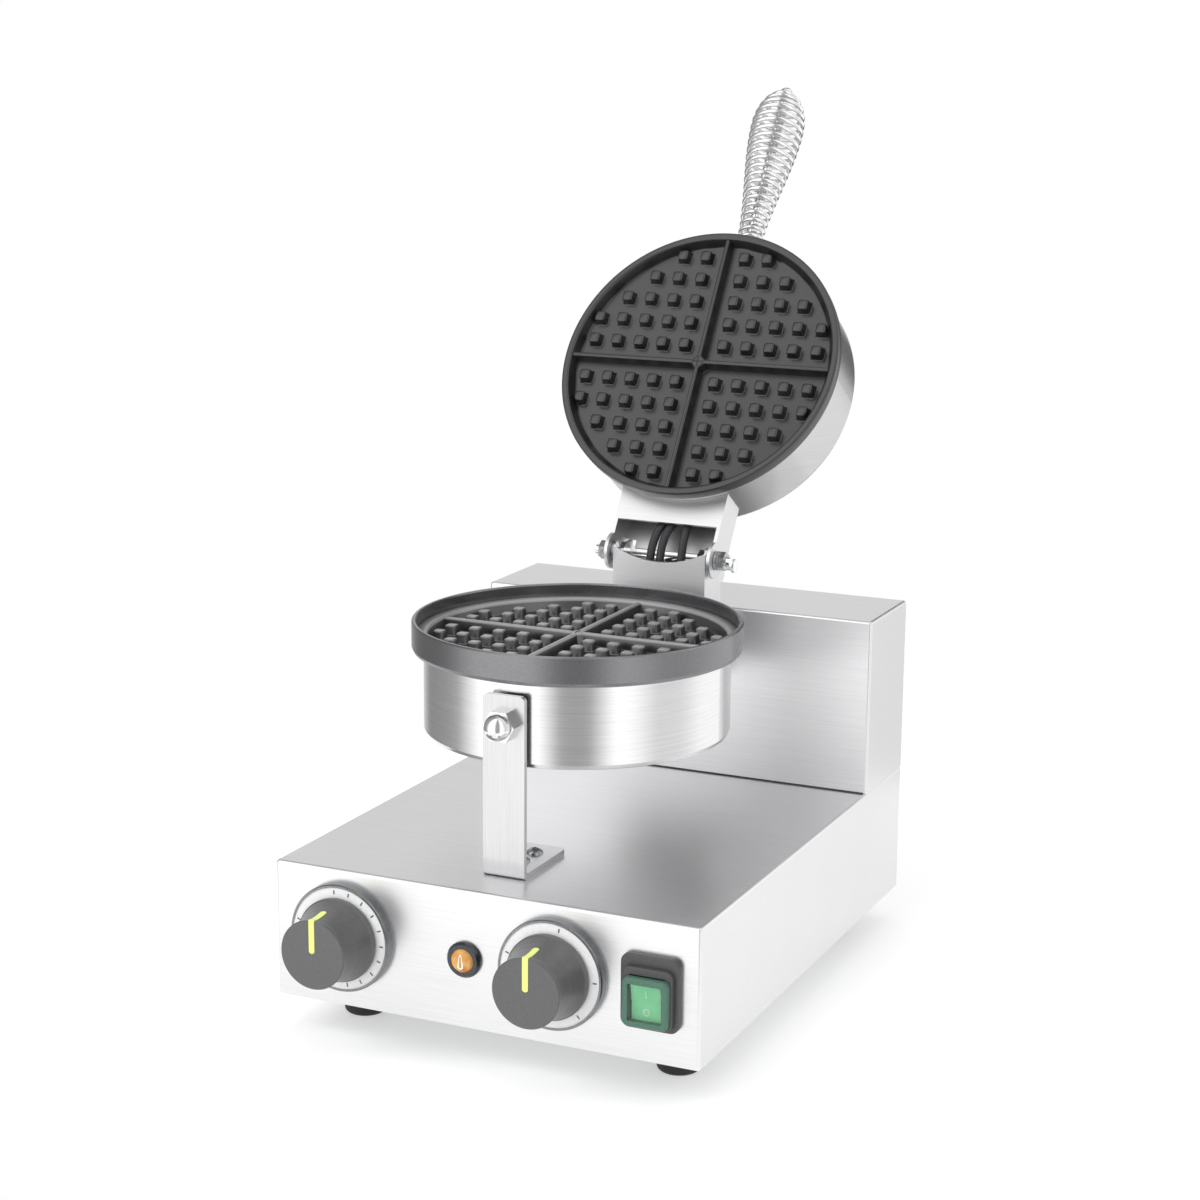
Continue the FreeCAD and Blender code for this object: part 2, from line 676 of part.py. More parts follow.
arm_in = cheek_out + D.hinge_gap
arm_out = arm_in + D.hinge_sheet
nut_in = arm_out + 1.4
axle_end = nut_in + 8
bolts = []
for side in (-1, 1):
    shank_low = D.hinge_inside if side > 0 else -axle_end
    shank = cylinder(shank_low, D.pivot_back, D.pivot_height, D.pivot_radius, axle_end - D.hinge_inside, "x")
    head_low = D.hinge_inside - 4 if side > 0 else -D.hinge_inside
    bolts.append(fuse(shank, hexagon(head_low, D.pivot_back, D.pivot_height, 10, 4, "x")))
piece(place(together(*bolts)), "hinge_bolts")


def collar_on_axle(near, far, radius, nut=False):
    """A washer or nut on each end of the axle, between two distances from its middle."""
    made = []
    for start in (near, -far):
        kind = hexagon if nut else cylinder
        body = kind(start, D.pivot_back, D.pivot_height, radius, far - near, "x")
        room = 0 if nut else 0.03
        made.append(cut(body, cylinder(-60, D.pivot_back, D.pivot_height, D.pivot_radius + room, 120, "x")))
    return made


piece(place(together(*collar_on_axle(cheek_out, arm_in - 0.3, 5.8),
                     *collar_on_axle(arm_out + 0.3, nut_in, 5.8),
                     *collar_on_axle(nut_in, nut_in + 5, 10, nut=True))), "hinge_nuts")

conduit = cut(cylinder(0, drum_rear - 9, conduit_level, 8, hinge_y + D.hinge_sheet + 7 - drum_rear + 9, "y"),
              cylinder(0, drum_rear - 20, conduit_level, 6, 60, "y"))
conduit_nuts = [conduit]
for y in (drum_rear - 6.5, drum_rear + 0.1, hinge_y - 4, hinge_y + D.hinge_sheet):
    conduit_nuts.append(cut(hexagon(0, y, conduit_level, 22, 4, "y"),
                            cylinder(0, y - 1, conduit_level, 8, 6, "y")))
piece(place(together(*conduit_nuts)), "drum_conduit")

# Lid, drawn closed with the pivot at its origin and turned up to the open stop
lid_y = D.plate_back - D.pivot_back
lid_face = D.meeting_height + D.meeting_gap - D.pivot_height
lid_inner = D.lid_drum_radius - D.sheet
drum_foot = D.lid_flange
drum_top = D.lid_flange + D.lid_drum_height
lid_shell = turned([
    (0, drum_top), (D.lid_drum_radius - 4, drum_top), (D.lid_drum_radius - 1.2, drum_top - 1.2),
    (D.lid_drum_radius, drum_top - 4), (D.lid_drum_radius, drum_foot), (lid_inner, drum_foot),
    (lid_inner, drum_top - 4.2), (lid_inner - 0.9, drum_top - D.sheet - 0.9),
    (lid_inner - 3, drum_top - D.sheet), (0, drum_top - D.sheet)])
put(lid_shell, 0, lid_y, lid_face)
lid_rear = lid_y + D.lid_drum_radius
lid_front = lid_y - D.lid_drum_radius
handle_level = lid_face + D.handle_back
arm_screws = [(-27, 2.2), (27, 2.2), (-27, 9.8), (27, 9.8)]
lid_holes = [cylinder(0, lid_front - 4, handle_level, 3.05, 12, "y"),
             cylinder(0, lid_y, lid_face + drum_top - 4, 3.1, 8),
             box(-21, lid_rear - 14, D.lead_height - 4, 42, 20, 8)]
for x, z in arm_screws:
    lid_holes.append(cylinder(x, lid_rear - 14, z, 2.1, 20, "y"))
piece(on_lid(cut(lid_shell, *lid_holes)), "lid_drum")

lid_casting = turned([
    (0, D.floor_depth), (D.floor_radius, D.floor_depth), (D.ring_inner, 0), (D.lid_radius - 0.8, 0),
    (D.lid_radius, 0.8), (D.lid_radius, D.lid_flange - 1), (D.lid_radius - 1, D.lid_flange),
    (D.spigot_radius, D.lid_flange), (D.spigot_radius, web_low), (0, web_low)])
lid_plate = cut(fuse(lid_casting, grid(False)), cylinder(0, 0, web_low - 4, 2.95, 8))
piece(on_lid(lid_plate, lid_y, lid_face), "lid_plate")


def set_lid(thing, label):
    piece(on_lid(thing, lid_y, lid_face), label)


cap = fuse(hexagon(0, 0, drum_top, 10, 5),
           common(dome(0, 0, drum_top + 5, 5), cylinder(0, 0, drum_top + 5, 5, 6)))
cap = cut(cap, cylinder(0, 0, drum_top - 1, 2.95, 7.2))
heater_set(("lid_heater", "lid_insulation", "lid_stud"), web_low, 1, 41, cap, set_lid)

# Lid bracket: two arms, a back strip with a tongue, a short face strip and a saddle round the drum
saddle_out = D.lid_drum_radius + 2.1
arms = []
arm_start = lid_y + 70
for left in (-arm_out, arm_in):
    arm = box(left, arm_start, -D.arm_low, D.hinge_sheet, 2 - arm_start, D.arm_low + D.arm_high)
    arm = rounded(arm, 9, lambda edge: edge.Length < D.hinge_sheet.value + 0.01
                  and edge.BoundBox.YMin > 0 and edge.BoundBox.ZMin > 0)
    arms.append(fuse(arm, cylinder(left, 0, 0, 11, D.hinge_sheet, "x")))
back_strip = box(-arm_out, arm_start, D.arm_high - D.hinge_sheet, 2 * arm_out, -14 - arm_start,
                 D.hinge_sheet)
tongue = box(2 - D.hinge_inside, arm_start, D.arm_high - D.hinge_sheet, 2 * D.hinge_inside - 4,
             -8.5 - arm_start, D.hinge_sheet)
face_strip = box(-arm_out, arm_start, -D.arm_low, 2 * arm_out, -19 - arm_start, D.hinge_sheet)
saddle = common(cut(cylinder(0, lid_y, -D.arm_low, saddle_out, D.arm_low + D.arm_high),
                    cylinder(0, lid_y, -20, D.lid_drum_radius + 0.1, 60)),
                box(-arm_out, arm_start, -20, 2 * arm_out, 60, 60))
arm_tools = [cylinder(0, lid_y, -20, D.lid_drum_radius + 0.1, 60),
             cylinder(-40, 0, 0, D.pivot_radius + D.pivot_clearance, 80, "x"),
             box(-21, lid_rear - 14, D.lead_height - 4, 42, 20, 8)]
for x, z in arm_screws:
    arm_tools.append(cylinder(x, lid_rear - 14, z, 2.1, 20, "y"))
piece(on_lid(cut(fuse(*arms, back_strip, tongue, face_strip, saddle), *arm_tools)), "lid_bracket")
screw_seat = lid_rear - 0.95
piece(on_lid(together(*[screw(x, screw_seat, z, "y", 3.2, 2.2, 2, 9, back=True)
                        for x, z in arm_screws])), "lid_bracket_screws")

# Handle: rod, collar, nut and the wire coil
tip = D.handle_collar + D.handle_straight + D.handle_end
rod_end = lid_front - tip
rod = fuse(cylinder(0, rod_end, handle_level, 3, tip + 12, "y"),
           common(dome(0, rod_end, handle_level, 4.2),
                  cylinder(0, rod_end - 5, handle_level, 4.2, 8, "y")))
piece(on_lid(rod), "handle_rod")
collar = cut(cylinder(0, lid_front - D.handle_collar, handle_level, 9, D.handle_collar - 0.1, "y"),
             cylinder(0, lid_front - 20, handle_level, 3, 30, "y"))
collar = rounded(collar, 1, lambda edge: edge.Length > 50 and edge.BoundBox.YMax < lid_front.value - 4)
handle_nut = cut(hexagon(0, lid_front + 4.6, handle_level, 10, 5, "y"),
                 cylinder(0, lid_front, handle_level, 3, 14, "y"))
piece(on_lid(together(collar, handle_nut)), "handle_collar")


def coil_profile():
    """Axial place and radius of the coil's centre line, at even steps of its own length."""
    straight, end = D.handle_straight.value, D.handle_end.value
    thin, thick, wire = D.handle_thin.value, D.handle_thick.value, D.handle_wire.value
    lead = 2.4 * wire
    points = []
    steps = 400
    for n in range(steps + 1):
        share = n / steps
        ease = share * share * (3 - 2 * share)
        points.append((lead + (straight - lead) * share, thin + (thick - thin) * ease))
    last_angle = math.acos(0.4)
    reach = end / math.sin(last_angle) - wire
    for n in range(1, steps + 1):
        angle = last_angle * n / steps
        points.append((straight + reach * math.sin(angle), thick * math.cos(angle)))
    lengths = [0.0]
    for (z0, r0), (z1, r1) in zip(points, points[1:]):
        lengths.append(lengths[-1] + math.hypot(z1 - z0, r1 - r0))

    def at(share):
        wanted = min(max(share, 0.0), 1.0) * lengths[-1]
        low = 0
        high = len(lengths) - 1
        while high - low > 1:
            middle = (low + high) // 2
            if lengths[middle] <= wanted:
                low = middle
            else:
                high = middle
        part = (wanted - lengths[low]) / (lengths[high] - lengths[low])
        z = points[low][0] + part * (points[high][0] - points[low][0])
        r = points[low][1] + part * (points[high][1] - points[low][1])
        return z, r

    return at


def biarc(start, start_way, end, end_way):
    """Two arcs that leave one point and reach the next along the given ways."""
    chord = end - start
    ways = start_way + end_way
    rest = 4 - ways.dot(ways)
    lean = chord.dot(ways)
    reach = (-lean + math.sqrt(lean * lean + rest * chord.dot(chord))) / rest
    corner_a = start + start_way * reach
    corner_b = end - end_way * reach
    joint = (corner_a + corner_b) * 0.5
    arcs = []
    for first, corner, last in ((start, corner_a, joint), (joint, corner_b, end)):
        middle = (first + last) * 0.5
        half = (last - first).Length / 2
        rise = (corner - middle).Length
        bend = math.atan2(rise, half)
        top = middle + (corner - middle) * (math.tan(bend / 2) / math.tan(bend))
        arcs.append(Part.Arc(first, top, last).toShape())
    return arcs


def coil():
    """The handle's wire as one tube, and its least gap to itself."""
    at = coil_profile()
    turns, wire = D.handle_turns.value, D.handle_wire.value

    def spot(turn):
        z, r = at(turn / turns)
        angle = 2 * math.pi * turn
        return Vector(r * math.cos(angle), -z, r * math.sin(angle))

    def way(turn):
        step = 1e-4
        first, last = max(turn - step, 0.0), min(turn + step, turns)
        return (spot(last) - spot(first)).normalize()

    edges = []
    quarters = int(4 * turns)
    begin = spot(0)
    foot = Vector(begin.x, -wire, begin.z - 2.4 * wire)
    stub = Vector(foot.x, 0, foot.z)
    edges.append(Part.LineSegment(stub, foot).toShape())
    edges.extend(biarc(foot, Vector(0, -1, 0), begin, way(0)))
    for n in range(quarters):
        a, b = n / 4, (n + 1) / 4
        edges.extend(biarc(spot(a), way(a), spot(b), way(b)))
    path = Part.Wire(edges)
    ring = Part.Wire([Part.Circle(stub, Vector(0, -1, 0), wire / 2).toShape()])
    pipe = Part.BRepOffsetAPI.MakePipeShell(path)
    pipe.add(ring)
    pipe.build()
    pipe.makeSolid()
    tube = pipe.shape()
    marks = []
    for edge in edges:
        marks.extend(edge.discretize(Number=9)[:-1])
    travelled = [0.0]
    for a, b in zip(marks, marks[1:]):
        travelled.append(travelled[-1] + (b - a).Length)
    least = 1e9
    for i, a in enumerate(marks):
        for j in range(i + 1, len(marks)):
            if travelled[j] - travelled[i] > 5 * wire:
                gap = (marks[j] - a).Length - wire
                least = min(least, gap)
    tightest = min(edge.Curve.Radius for edge in edges if hasattr(edge.Curve, "Radius"))
    share = tube.Volume / (math.pi * wire * wire / 4 * path.Length)
    print(f"handle coil: least gap {least:.2f} mm, tightest arc {tightest:.2f} mm, "
          f"volume over section x length {share:.4f}, valid {tube.isValid()}")
    return tube


coil_piece = doc.addObject("Part::Feature", "Coil")
coil_piece.Shape = coil()
piece(on_lid(coil_piece, lid_front - D.handle_collar, handle_level), "handle_coil")

# Leads across the hinge, drawn as they hang with the lid open
lead_sides = (-9.7, -3.3, 10.9)
lead_exits = (-1.6, 4.0, 11.5)


def tube(corners, bends, radius):
    """A round tube of straight runs and arcs; bends holds the radius at each inner corner."""
    edges = []
    last = corners[0]
    for a, b, c, bend in zip(corners, corners[1:], corners[2:], bends):
        before = (b - a).normalize()
        after = (c - b).normalize()
        half = before.getAngle(after) / 2
        trim = bend * math.tan(half)
        first, final = b - before * trim, b + after * trim
        inward = (after - before).normalize()
        top = b + inward * (bend / math.cos(half) - bend)
        edges.append(Part.LineSegment(last, first).toShape())
        edges.append(Part.Arc(first, top, final).toShape())
        last = final
    edges.append(Part.LineSegment(last, corners[-1]).toShape())
    path = Part.Wire(edges)
    ring = Part.Wire([Part.Circle(corners[0], corners[1] - corners[0], radius).toShape()])
    made = path.makePipeShell([ring], True, False)
    share = made.Volume / (math.pi * radius ** 2 * path.Length)
    print(f"tube: volume over section x length {share:.4f}, valid {made.isValid()}")
    return made


def lead(side, exit_side):
    """One lead from the lid's drum, past the pivot, into the column."""
    turn = math.radians(D.lid_open.value)
    across, down = math.cos(turn), math.sin(turn)

    def opened(y, z):
        return Vector(exit_side, y * across + z * down, z * across - y * down)

    inside = opened((lid_rear - 8).value, D.lead_height.value)
    outside = opened((lid_rear + 5).value, D.lead_height.value)
    run_y = D.lead_run.value
    drop = -D.lead_drop.value
    far = (column_front - D.pivot_back).value + 9
    return tube([inside, outside, Vector(side, run_y, 8), Vector(side, run_y, drop),
                 Vector(side, far, drop)], [12.0, 12.0, 9.0], D.lead_radius.value)


leads = doc.addObject("Part::Feature", "Leads")
leads.Shape = Part.makeCompound([lead(*sides) for sides in zip(lead_sides, lead_exits)])
piece(place(leads, 0, D.pivot_back, D.pivot_height), "hinge_leads")


def grommet(sides, x, y, z, length, width, height, lead_y, lead_z, depth):
    """A rubber strip with a hole for each lead."""
    body = box(x, y, z, length, width, height)
    holes = [cylinder(side, lead_y, lead_z, D.lead_radius + 0.1, depth, "y") for side in sides]
    return cut(body, *holes)


piece(on_lid(grommet(lead_exits, -20.8, lid_rear - 5, D.lead_height - 3.8, 41.6, 4.2, 7.6,
                     lid_rear - 14, D.lead_height, 24)), "lid_grommet")
piece(place(grommet(lead_sides, -23.8, column_front - 3, lead_level - 5.8, 47.6, 5, 11.6,
                    column_front - 8, lead_level, 24)), "column_grommet")

# Controls on the front panel; their own Z axis points forward
FORWARD = ((1, 0, 0), 90)
BACKWARD = ((1, 0, 0), -90)


def pointer_bar():
    """The coloured bar let into a knob, over its face and down its upper side."""
    tip_z = knob_low + D.knob_depth
    made = padded("YZ_Plane", [
        (1, tip_z + 0.25), (D.knob_face + 0.2, tip_z + 0.25), (D.knob_face + 0.3, tip_z - 0.8),
        (D.knob_waist + 1.0, tip_z - 4), (D.knob_waist + 1.2, tip_z - 8), (D.knob_waist + 1.9, tip_z - 14),
        (D.knob_waist + 0.4, tip_z - 14), (D.knob_waist - 0.3, tip_z - 8), (D.knob_waist - 0.4, tip_z - 4),
        (D.knob_face - 1.4, tip_z - 1), (1, tip_z - 1)], 3.4)
    return rounded(made, 1.5, lambda edge: abs(edge.BoundBox.XMax) > 1.6 and edge.BoundBox.XLength < 0.01
                   and (edge.BoundBox.YMax < 1.01 or edge.BoundBox.ZMax < tip_z.value - 13.9))


knob_low = D.dial_thickness + 1
for name, side in (("timer", D.timer_side), ("thermostat", D.thermostat_side)):
    bezel = turned([(D.dial_radius - 1.6, 0), (D.dial_radius, 0), (D.dial_radius, D.dial_thickness - 0.9),
                    (D.dial_radius - 0.5, D.dial_thickness), (D.dial_radius - 1.6, D.dial_thickness)])
    piece(place(bezel, side, 0, D.control_height, *FORWARD), f"{name}_bezel")
    face_level = D.dial_thickness - 0.4
    face = turned([(8, 0), (D.dial_radius - 1.6, 0), (D.dial_radius - 1.6, face_level), (8, face_level)])
    piece(place(face, side, 0, D.control_height, *FORWARD), f"{name}_dial_face")
    tip_z = knob_low + D.knob_depth
    knob = turned([
        (0, knob_low), (D.knob_radius, knob_low), (D.knob_radius, knob_low + 2.2),
        (D.knob_radius - 0.8, knob_low + 3.2), (D.knob_waist + 2.8, tip_z - 19),
        (D.knob_waist + 1.6, tip_z - 14), (D.knob_waist + 0.9, tip_z - 8), (D.knob_waist + 0.7, tip_z - 4),
        (D.knob_face, tip_z - 1.2), (D.knob_face, tip_z - 0.5), (D.knob_face - 0.5, tip_z), (0, tip_z)])
    knob = cut(knob, cylinder(0, 0, 0, D.shaft_radius, 20), pointer_bar())
    piece(place(knob, side, 0, D.control_height, *FORWARD), f"{name}_knob")
    piece(place(pointer_bar(), side, 0, D.control_height, *FORWARD), f"{name}_pointer")
    piece(place(cylinder(0, 0, 0, D.shaft_radius, 32, "y"), side, -20, D.control_height), f"{name}_shaft")

bore = cylinder(0, -4, 0, D.shaft_radius + 0.06, 17, "y")
timer_case = fuse(box(-23, D.sheet, -22, 46, 32, 44), cylinder(0, D.sheet, 0, 20, 40, "y"),
                  box(-10, 33, -14, 1, 10, 6), box(9, 33, -14, 1, 10, 6))
piece(place(cut(timer_case, bore), D.timer_side, 0, D.control_height), "timer_unit")
bore = cylinder(0, -4, 0, D.shaft_radius + 0.06, 17, "y")
stat_case = fuse(cylinder(0, D.sheet, 0, 17, 26, "y"), box(-15, D.sheet + 26, -10, 30, 8, 20),
                 box(-12, D.sheet + 34, -4, 6, 9, 1), box(6, D.sheet + 34, -4, 6, 9, 1))
piece(place(cut(stat_case, bore), D.thermostat_side, 0, D.control_height), "thermostat_unit")
bulb = cylinder(0, 0, 0, 2.6, 52, "y")
piece(place(bulb, 20, D.plate_back - 26, D.meeting_height - web_low - 2.7), "sensor_bulb")

lamp_bezel = turned([(6.6, 0), (10, 0), (10, 1.6), (8.8, 3.4), (6.6, 3.4)])
piece(place(lamp_bezel, D.lamp_side, 0, D.lamp_height, *FORWARD), "lamp_bezel")
lens = turned([(0, 0), (6.5, 0), (6.5, 3.4), (5.6, 4.6), (3.2, 5.4), (0, 5.6)])
piece(place(lens, D.lamp_side, 0, D.lamp_height, *FORWARD), "lamp_lens")
lamp_body = fuse(cylinder(0, 0, 0, 6.1, 26, "y"), box(-3, 25, -0.4, 1.6, 9, 0.8),
                 box(1.4, 25, -0.4, 1.6, 9, 0.8))
lamp_nut = cut(hexagon(0, D.sheet, 0, 18, 4, "y"), cylinder(0, 0, 0, 6.1, 9, "y"))
piece(place(together(lamp_body, lamp_nut), D.lamp_side, 0, D.lamp_height), "lamp_body")

# Rocker switch in a sealed frame
switch_level = D.control_height - 4.4
rocker_back = -3


def block(width, height, front, back, corner, up=0):
    """A block round the switch's centre with rounded corners, from front to back."""
    made = box(-size(width) / 2, front, up - size(height) / 2, width, size(back) - front, height)
    return rounded(made, corner, along_y)


frame = fuse(block(D.switch_width, D.switch_height, -4, 0, 5, 3.6), block(28, 32.5, -7.2, -3, 4, 1.8))
frame = cut(frame, box(-9.2, -20, -11.6, 18.4, 40, 23.2),
            cylinder(-10.8, rocker_back, 0, 1.56, 21.6, "x"))
piece(place(frame, D.switch_side, 0, switch_level), "switch_frame")
shell = block(25.8, 26.8, -10.8, -7.2, 3.6)
front_edge = rounded(shell, 1.4, lambda edge: edge.BoundBox.YMax < -10.79)
piece(place(cut(front_edge, box(-11, -9.8, -11.6, 22, 5, 23.2)), D.switch_side, 0, switch_level),
      "switch_cap")
rocker = padded("YZ_Plane", [(-5, -10), (-4, 0), (-5, 10), (-2.4, 10),
                             (2.4, 7), (2.4, -7), (-2.4, -10)], 16.8)
rocker = fuse(rocker, cylinder(-10.5, 0, 0, 1.5, 21, "x"))
rocker_lean = 6
piece(place(rocker, D.switch_side, rocker_back, switch_level, (1, 0, 0), rocker_lean), "switch_rocker")
switch_body = fuse(cut(box(-14, 0, -14.5, 28, 30, 29), box(-11, -1, -12, 22, 6, 24)),
                   box(-9, 30, -10, 1, 8, 6), box(8, 30, -10, 1, 8, 6),
                   box(-9, 30, 4, 1, 8, 6), box(8, 30, 4, 1, 8, 6))
piece(place(switch_body, D.switch_side, 0, switch_level), "switch_body")

# Cable gland at the back and the terminal block inside
gland = turned([(D.gland_bore, -9), (8, -9), (8, 0), (10.5, 0), (10.5, 5), (9.4, 6), (9.4, 16),
                (8, 20), (6, 22), (D.gland_bore, 22)])
gland = common(gland, fuse(hexagon(0, 0, 0, 18.4, 6), cylinder(0, 0, -10, 8, 11),
                           hexagon(0, 0, 5.9, 17.6, 18)))
piece(place(gland, D.gland_side, D.base_depth, D.gland_height, *BACKWARD), "cable_gland")
locknut = cut(hexagon(0, 0, 0, 20, 4), cylinder(0, 0, -1, 8, 6))
piece(place(locknut, D.gland_side, D.base_depth - D.sheet - 4, D.gland_height, *BACKWARD),
      "gland_locknut")
block_holes = []
for n in range(4):
    block_holes.append(cylinder(-21 + 14 * n, -20, 8, 2.5, 40, "y"))
    block_holes.append(cylinder(-21 + 14 * n, 0, 8, 2.2, 20))
terminal = cut(box(-30, -10, 0, 60, 20, 16), *block_holes)
piece(place(terminal, 60, 240, 0), "terminal_block")


def wire(points, bend, radius=1.4):
    """An inside wire through points measured like every other place."""
    return tube([Vector(*p) for p in points], [bend] * (len(points) - 2), radius)


inside_top = D.base_height.value - 14
switch_x, timer_x = D.switch_side.value, D.timer_side.value
stat_x, lamp_x = D.thermostat_side.value, D.lamp_side.value
control_z = D.control_height.value
column_mid = column_front.value + 34
wires = doc.addObject("Part::Feature", "Wires")
wires.Shape = Part.makeCompound([
    wire([(81, 229.5, 8), (81, 180, 8), (switch_x - 4, 120, 24), (switch_x - 4, 42, 24)], 14),
    wire([(67, 229.5, 8), (67, 170, 8), (stat_x, 110, 30), (stat_x, 46, 30)], 14),
    wire([(53, 229.5, 8), (53, 170, 8), (lamp_x, 110, 40), (lamp_x, 36.5, 40)], 14),
    wire([(timer_x, 43, 20), (timer_x, 150, 20), (-6, column_mid, 20), (-6, column_mid, 150)], 14),
    wire([(39, 250.5, 8), (39, column_mid, 8), (6, column_mid, 30), (6, column_mid, 150)], 12),
])
piece(place(wires), "inside_wiring")

doc.recompute()
os.makedirs("parts", exist_ok=True)
whole = FreeCAD.BoundBox()
for thing in doc.Objects:
    if "Invalid" in thing.State or "Error" in thing.State:
        raise RuntimeError(f"{thing.Name} ({thing.Label}) did not build: {thing.State}")
for thing in pieces:
    shape = thing.Shape
    if shape.isNull() or not shape.isValid() or not shape.Solids:
        raise RuntimeError(f"{thing.Label} has no valid solid")
    whole.add(shape.BoundBox)
    shape.exportStep(f"parts/{thing.Label}.step")
print(f"{len(pieces)} sub-parts; x {whole.XMin:.2f} to {whole.XMax:.2f}, "
      f"y {whole.YMin:.2f} to {whole.YMax:.2f}, z {whole.ZMin:.2f} to {whole.ZMax:.2f}")
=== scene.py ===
"""Round waffle iron on a steel base with an open lid: finishes, plates, handle, leads, marks and studio."""
import math

import bmesh
import bpy
from mathutils import Matrix, Vector


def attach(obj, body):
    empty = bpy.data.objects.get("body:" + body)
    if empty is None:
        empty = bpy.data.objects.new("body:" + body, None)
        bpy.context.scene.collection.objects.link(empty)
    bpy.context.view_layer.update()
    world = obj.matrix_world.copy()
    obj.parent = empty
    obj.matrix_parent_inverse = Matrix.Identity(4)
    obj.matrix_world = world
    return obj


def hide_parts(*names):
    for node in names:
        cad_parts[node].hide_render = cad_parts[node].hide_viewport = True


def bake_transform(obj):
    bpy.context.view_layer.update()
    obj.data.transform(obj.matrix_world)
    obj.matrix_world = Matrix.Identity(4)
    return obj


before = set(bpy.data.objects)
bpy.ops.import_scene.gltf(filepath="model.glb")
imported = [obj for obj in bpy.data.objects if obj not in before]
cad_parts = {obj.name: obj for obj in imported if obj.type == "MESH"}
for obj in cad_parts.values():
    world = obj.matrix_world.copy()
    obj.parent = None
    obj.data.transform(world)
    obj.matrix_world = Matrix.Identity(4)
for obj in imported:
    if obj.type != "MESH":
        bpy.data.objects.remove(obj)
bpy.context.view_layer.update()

MM = 0.001
FRONT_TO_ORIGIN = 202.17      # the row's origin, behind the front panel
FOOT_HEIGHT = 21.3
PIVOT_BACK = 239.5
PIVOT_HEIGHT = 215.6
LID_OPEN = math.radians(123.3)
PLATE_BACK = 119.0
MEETING_HEIGHT = 194.6
MEETING_GAP = 0.4
LID_CENTRE = PLATE_BACK - PIVOT_BACK
LID_FACE = MEETING_HEIGHT + MEETING_GAP - PIVOT_HEIGHT
LID_DRUM = 86.5
CONTROL_HEIGHT = 40.0
BASE_TOP = 77.5
COLUMN_FRONT = 258.0
HALF_WIDTH = 126.5


def at(x, y, z):
    """A place measured from the front panel and the base's lower edge, in the row frame."""
    return Vector((x, y - FRONT_TO_ORIGIN, z + FOOT_HEIGHT)) * MM


PIVOT = at(0, PIVOT_BACK, PIVOT_HEIGHT)
LID_TURN = Matrix.Translation(PIVOT) @ Matrix.Rotation(-LID_OPEN, 4, "X")


def on_lid(y, z, x=0.0):
    """A place on the closed lid, measured from the pivot, as the open lid carries it."""
    return LID_TURN @ (Vector((x, y, z)) * MM)


# Camera, at the photograph's angle

IMAGE_SIDE = 1200
FOCAL_PIXELS = 2502.58
SENSOR = 36.0
AZIMUTH = math.radians(24.636)
ELEVATION = math.radians(12.646)
ROLL = math.radians(0.424)
CAMERA_PLACE = Vector((0.580476, -1.319130, 0.540020))


def make_camera():
    """The camera stands where the photograph was taken from, with its lens and its slight roll."""
    forward = Vector((-math.sin(AZIMUTH) * math.cos(ELEVATION),
                      math.cos(AZIMUTH) * math.cos(ELEVATION), -math.sin(ELEVATION)))
    level = Vector((math.cos(AZIMUTH), math.sin(AZIMUTH), 0))
    upward = level.cross(forward)
    right = level * math.cos(ROLL) + upward * math.sin(ROLL)
    up = upward * math.cos(ROLL) - level * math.sin(ROLL)
    data = bpy.data.cameras.new("camera")
    data.sensor_width = SENSOR
    data.lens = FOCAL_PIXELS * SENSOR / IMAGE_SIDE
    data.clip_start = 0.05
    data.clip_end = 50
    camera = bpy.data.objects.new("camera", data)
    turn = Matrix((right, up, -forward)).transposed().to_4x4()
    camera.matrix_world = Matrix.Translation(CAMERA_PLACE) @ turn
    bpy.context.scene.collection.objects.link(camera)
    bpy.context.scene.camera = camera


make_camera()


# Materials

def linear(hex_colour):
    """An sRGB hex colour as linear red, green, blue and a full alpha."""
    parts = [int(hex_colour[n:n + 2], 16) / 255 for n in (1, 3, 5)]
    return [c / 12.92 if c <= 0.04045 else ((c + 0.055) / 1.055) ** 2.4 for c in parts] + [1.0]


def add(tree, kind, settings, links=()):
    """Adds a node, gives it its settings and links the outputs of others to its inputs."""
    made = tree.nodes.new(kind)
    for key, value in settings.items():
        if isinstance(key, int) or key in made.inputs:
            made.inputs[key].default_value = value
        else:
            setattr(made, key, value)
    for key, source in links:
        tree.links.new(source, made.inputs[key])
    return made


def new_material(name):
    """A material with its tree, its surface shader and its Object coordinates."""
    material = bpy.data.materials.new(name)
    material.use_nodes = True
    tree = material.node_tree
    shader = tree.nodes["Principled BSDF"]
    place = add(tree, "ShaderNodeTexCoord", {}).outputs["Object"]
    return material, tree, shader, place


def dress(shader, **values):
    """Sets constant values on the shader's own sockets."""
    for key, value in values.items():
        shader.inputs[key.replace("_", " ")].default_value = value


def ramp(tree, source, stops):
    """A colour ramp from pairs of position and hex colour."""
    made = add(tree, "ShaderNodeValToRGB", {}, [("Fac", source)])
    elements = made.color_ramp.elements
    while len(elements) < len(stops):
        elements.new(0.5)
    for element, (position, colour) in zip(elements, stops):
        element.position = position
        element.color = linear(colour)
    return made.outputs["Color"]


def spread(tree, source, low, high):
    """A value from 0 to 1 spread from low to high."""
    return add(tree, "ShaderNodeMapRange", {"To Min": low, "To Max": high},
               [("Value", source)]).outputs["Result"]


STEEL_CLOUDS = 9.0       # per metre: one patch is about 110 mm across
STEEL_PATCHY = 0.02      # how far the gloss wanders over a sheet
GRAIN_SHARE = 0.7        # of the grain in the colour; the clouds have the rest
GRAIN_LINES = 1400       # per metre: real grit is finer than a pixel, so it is drawn 0.7 mm apart to show
GRAIN_STREAKS = 22       # per metre: a scratch runs on for about 45 mm
SPANGLE = 160            # per metre: a zinc flake is about 6 mm across


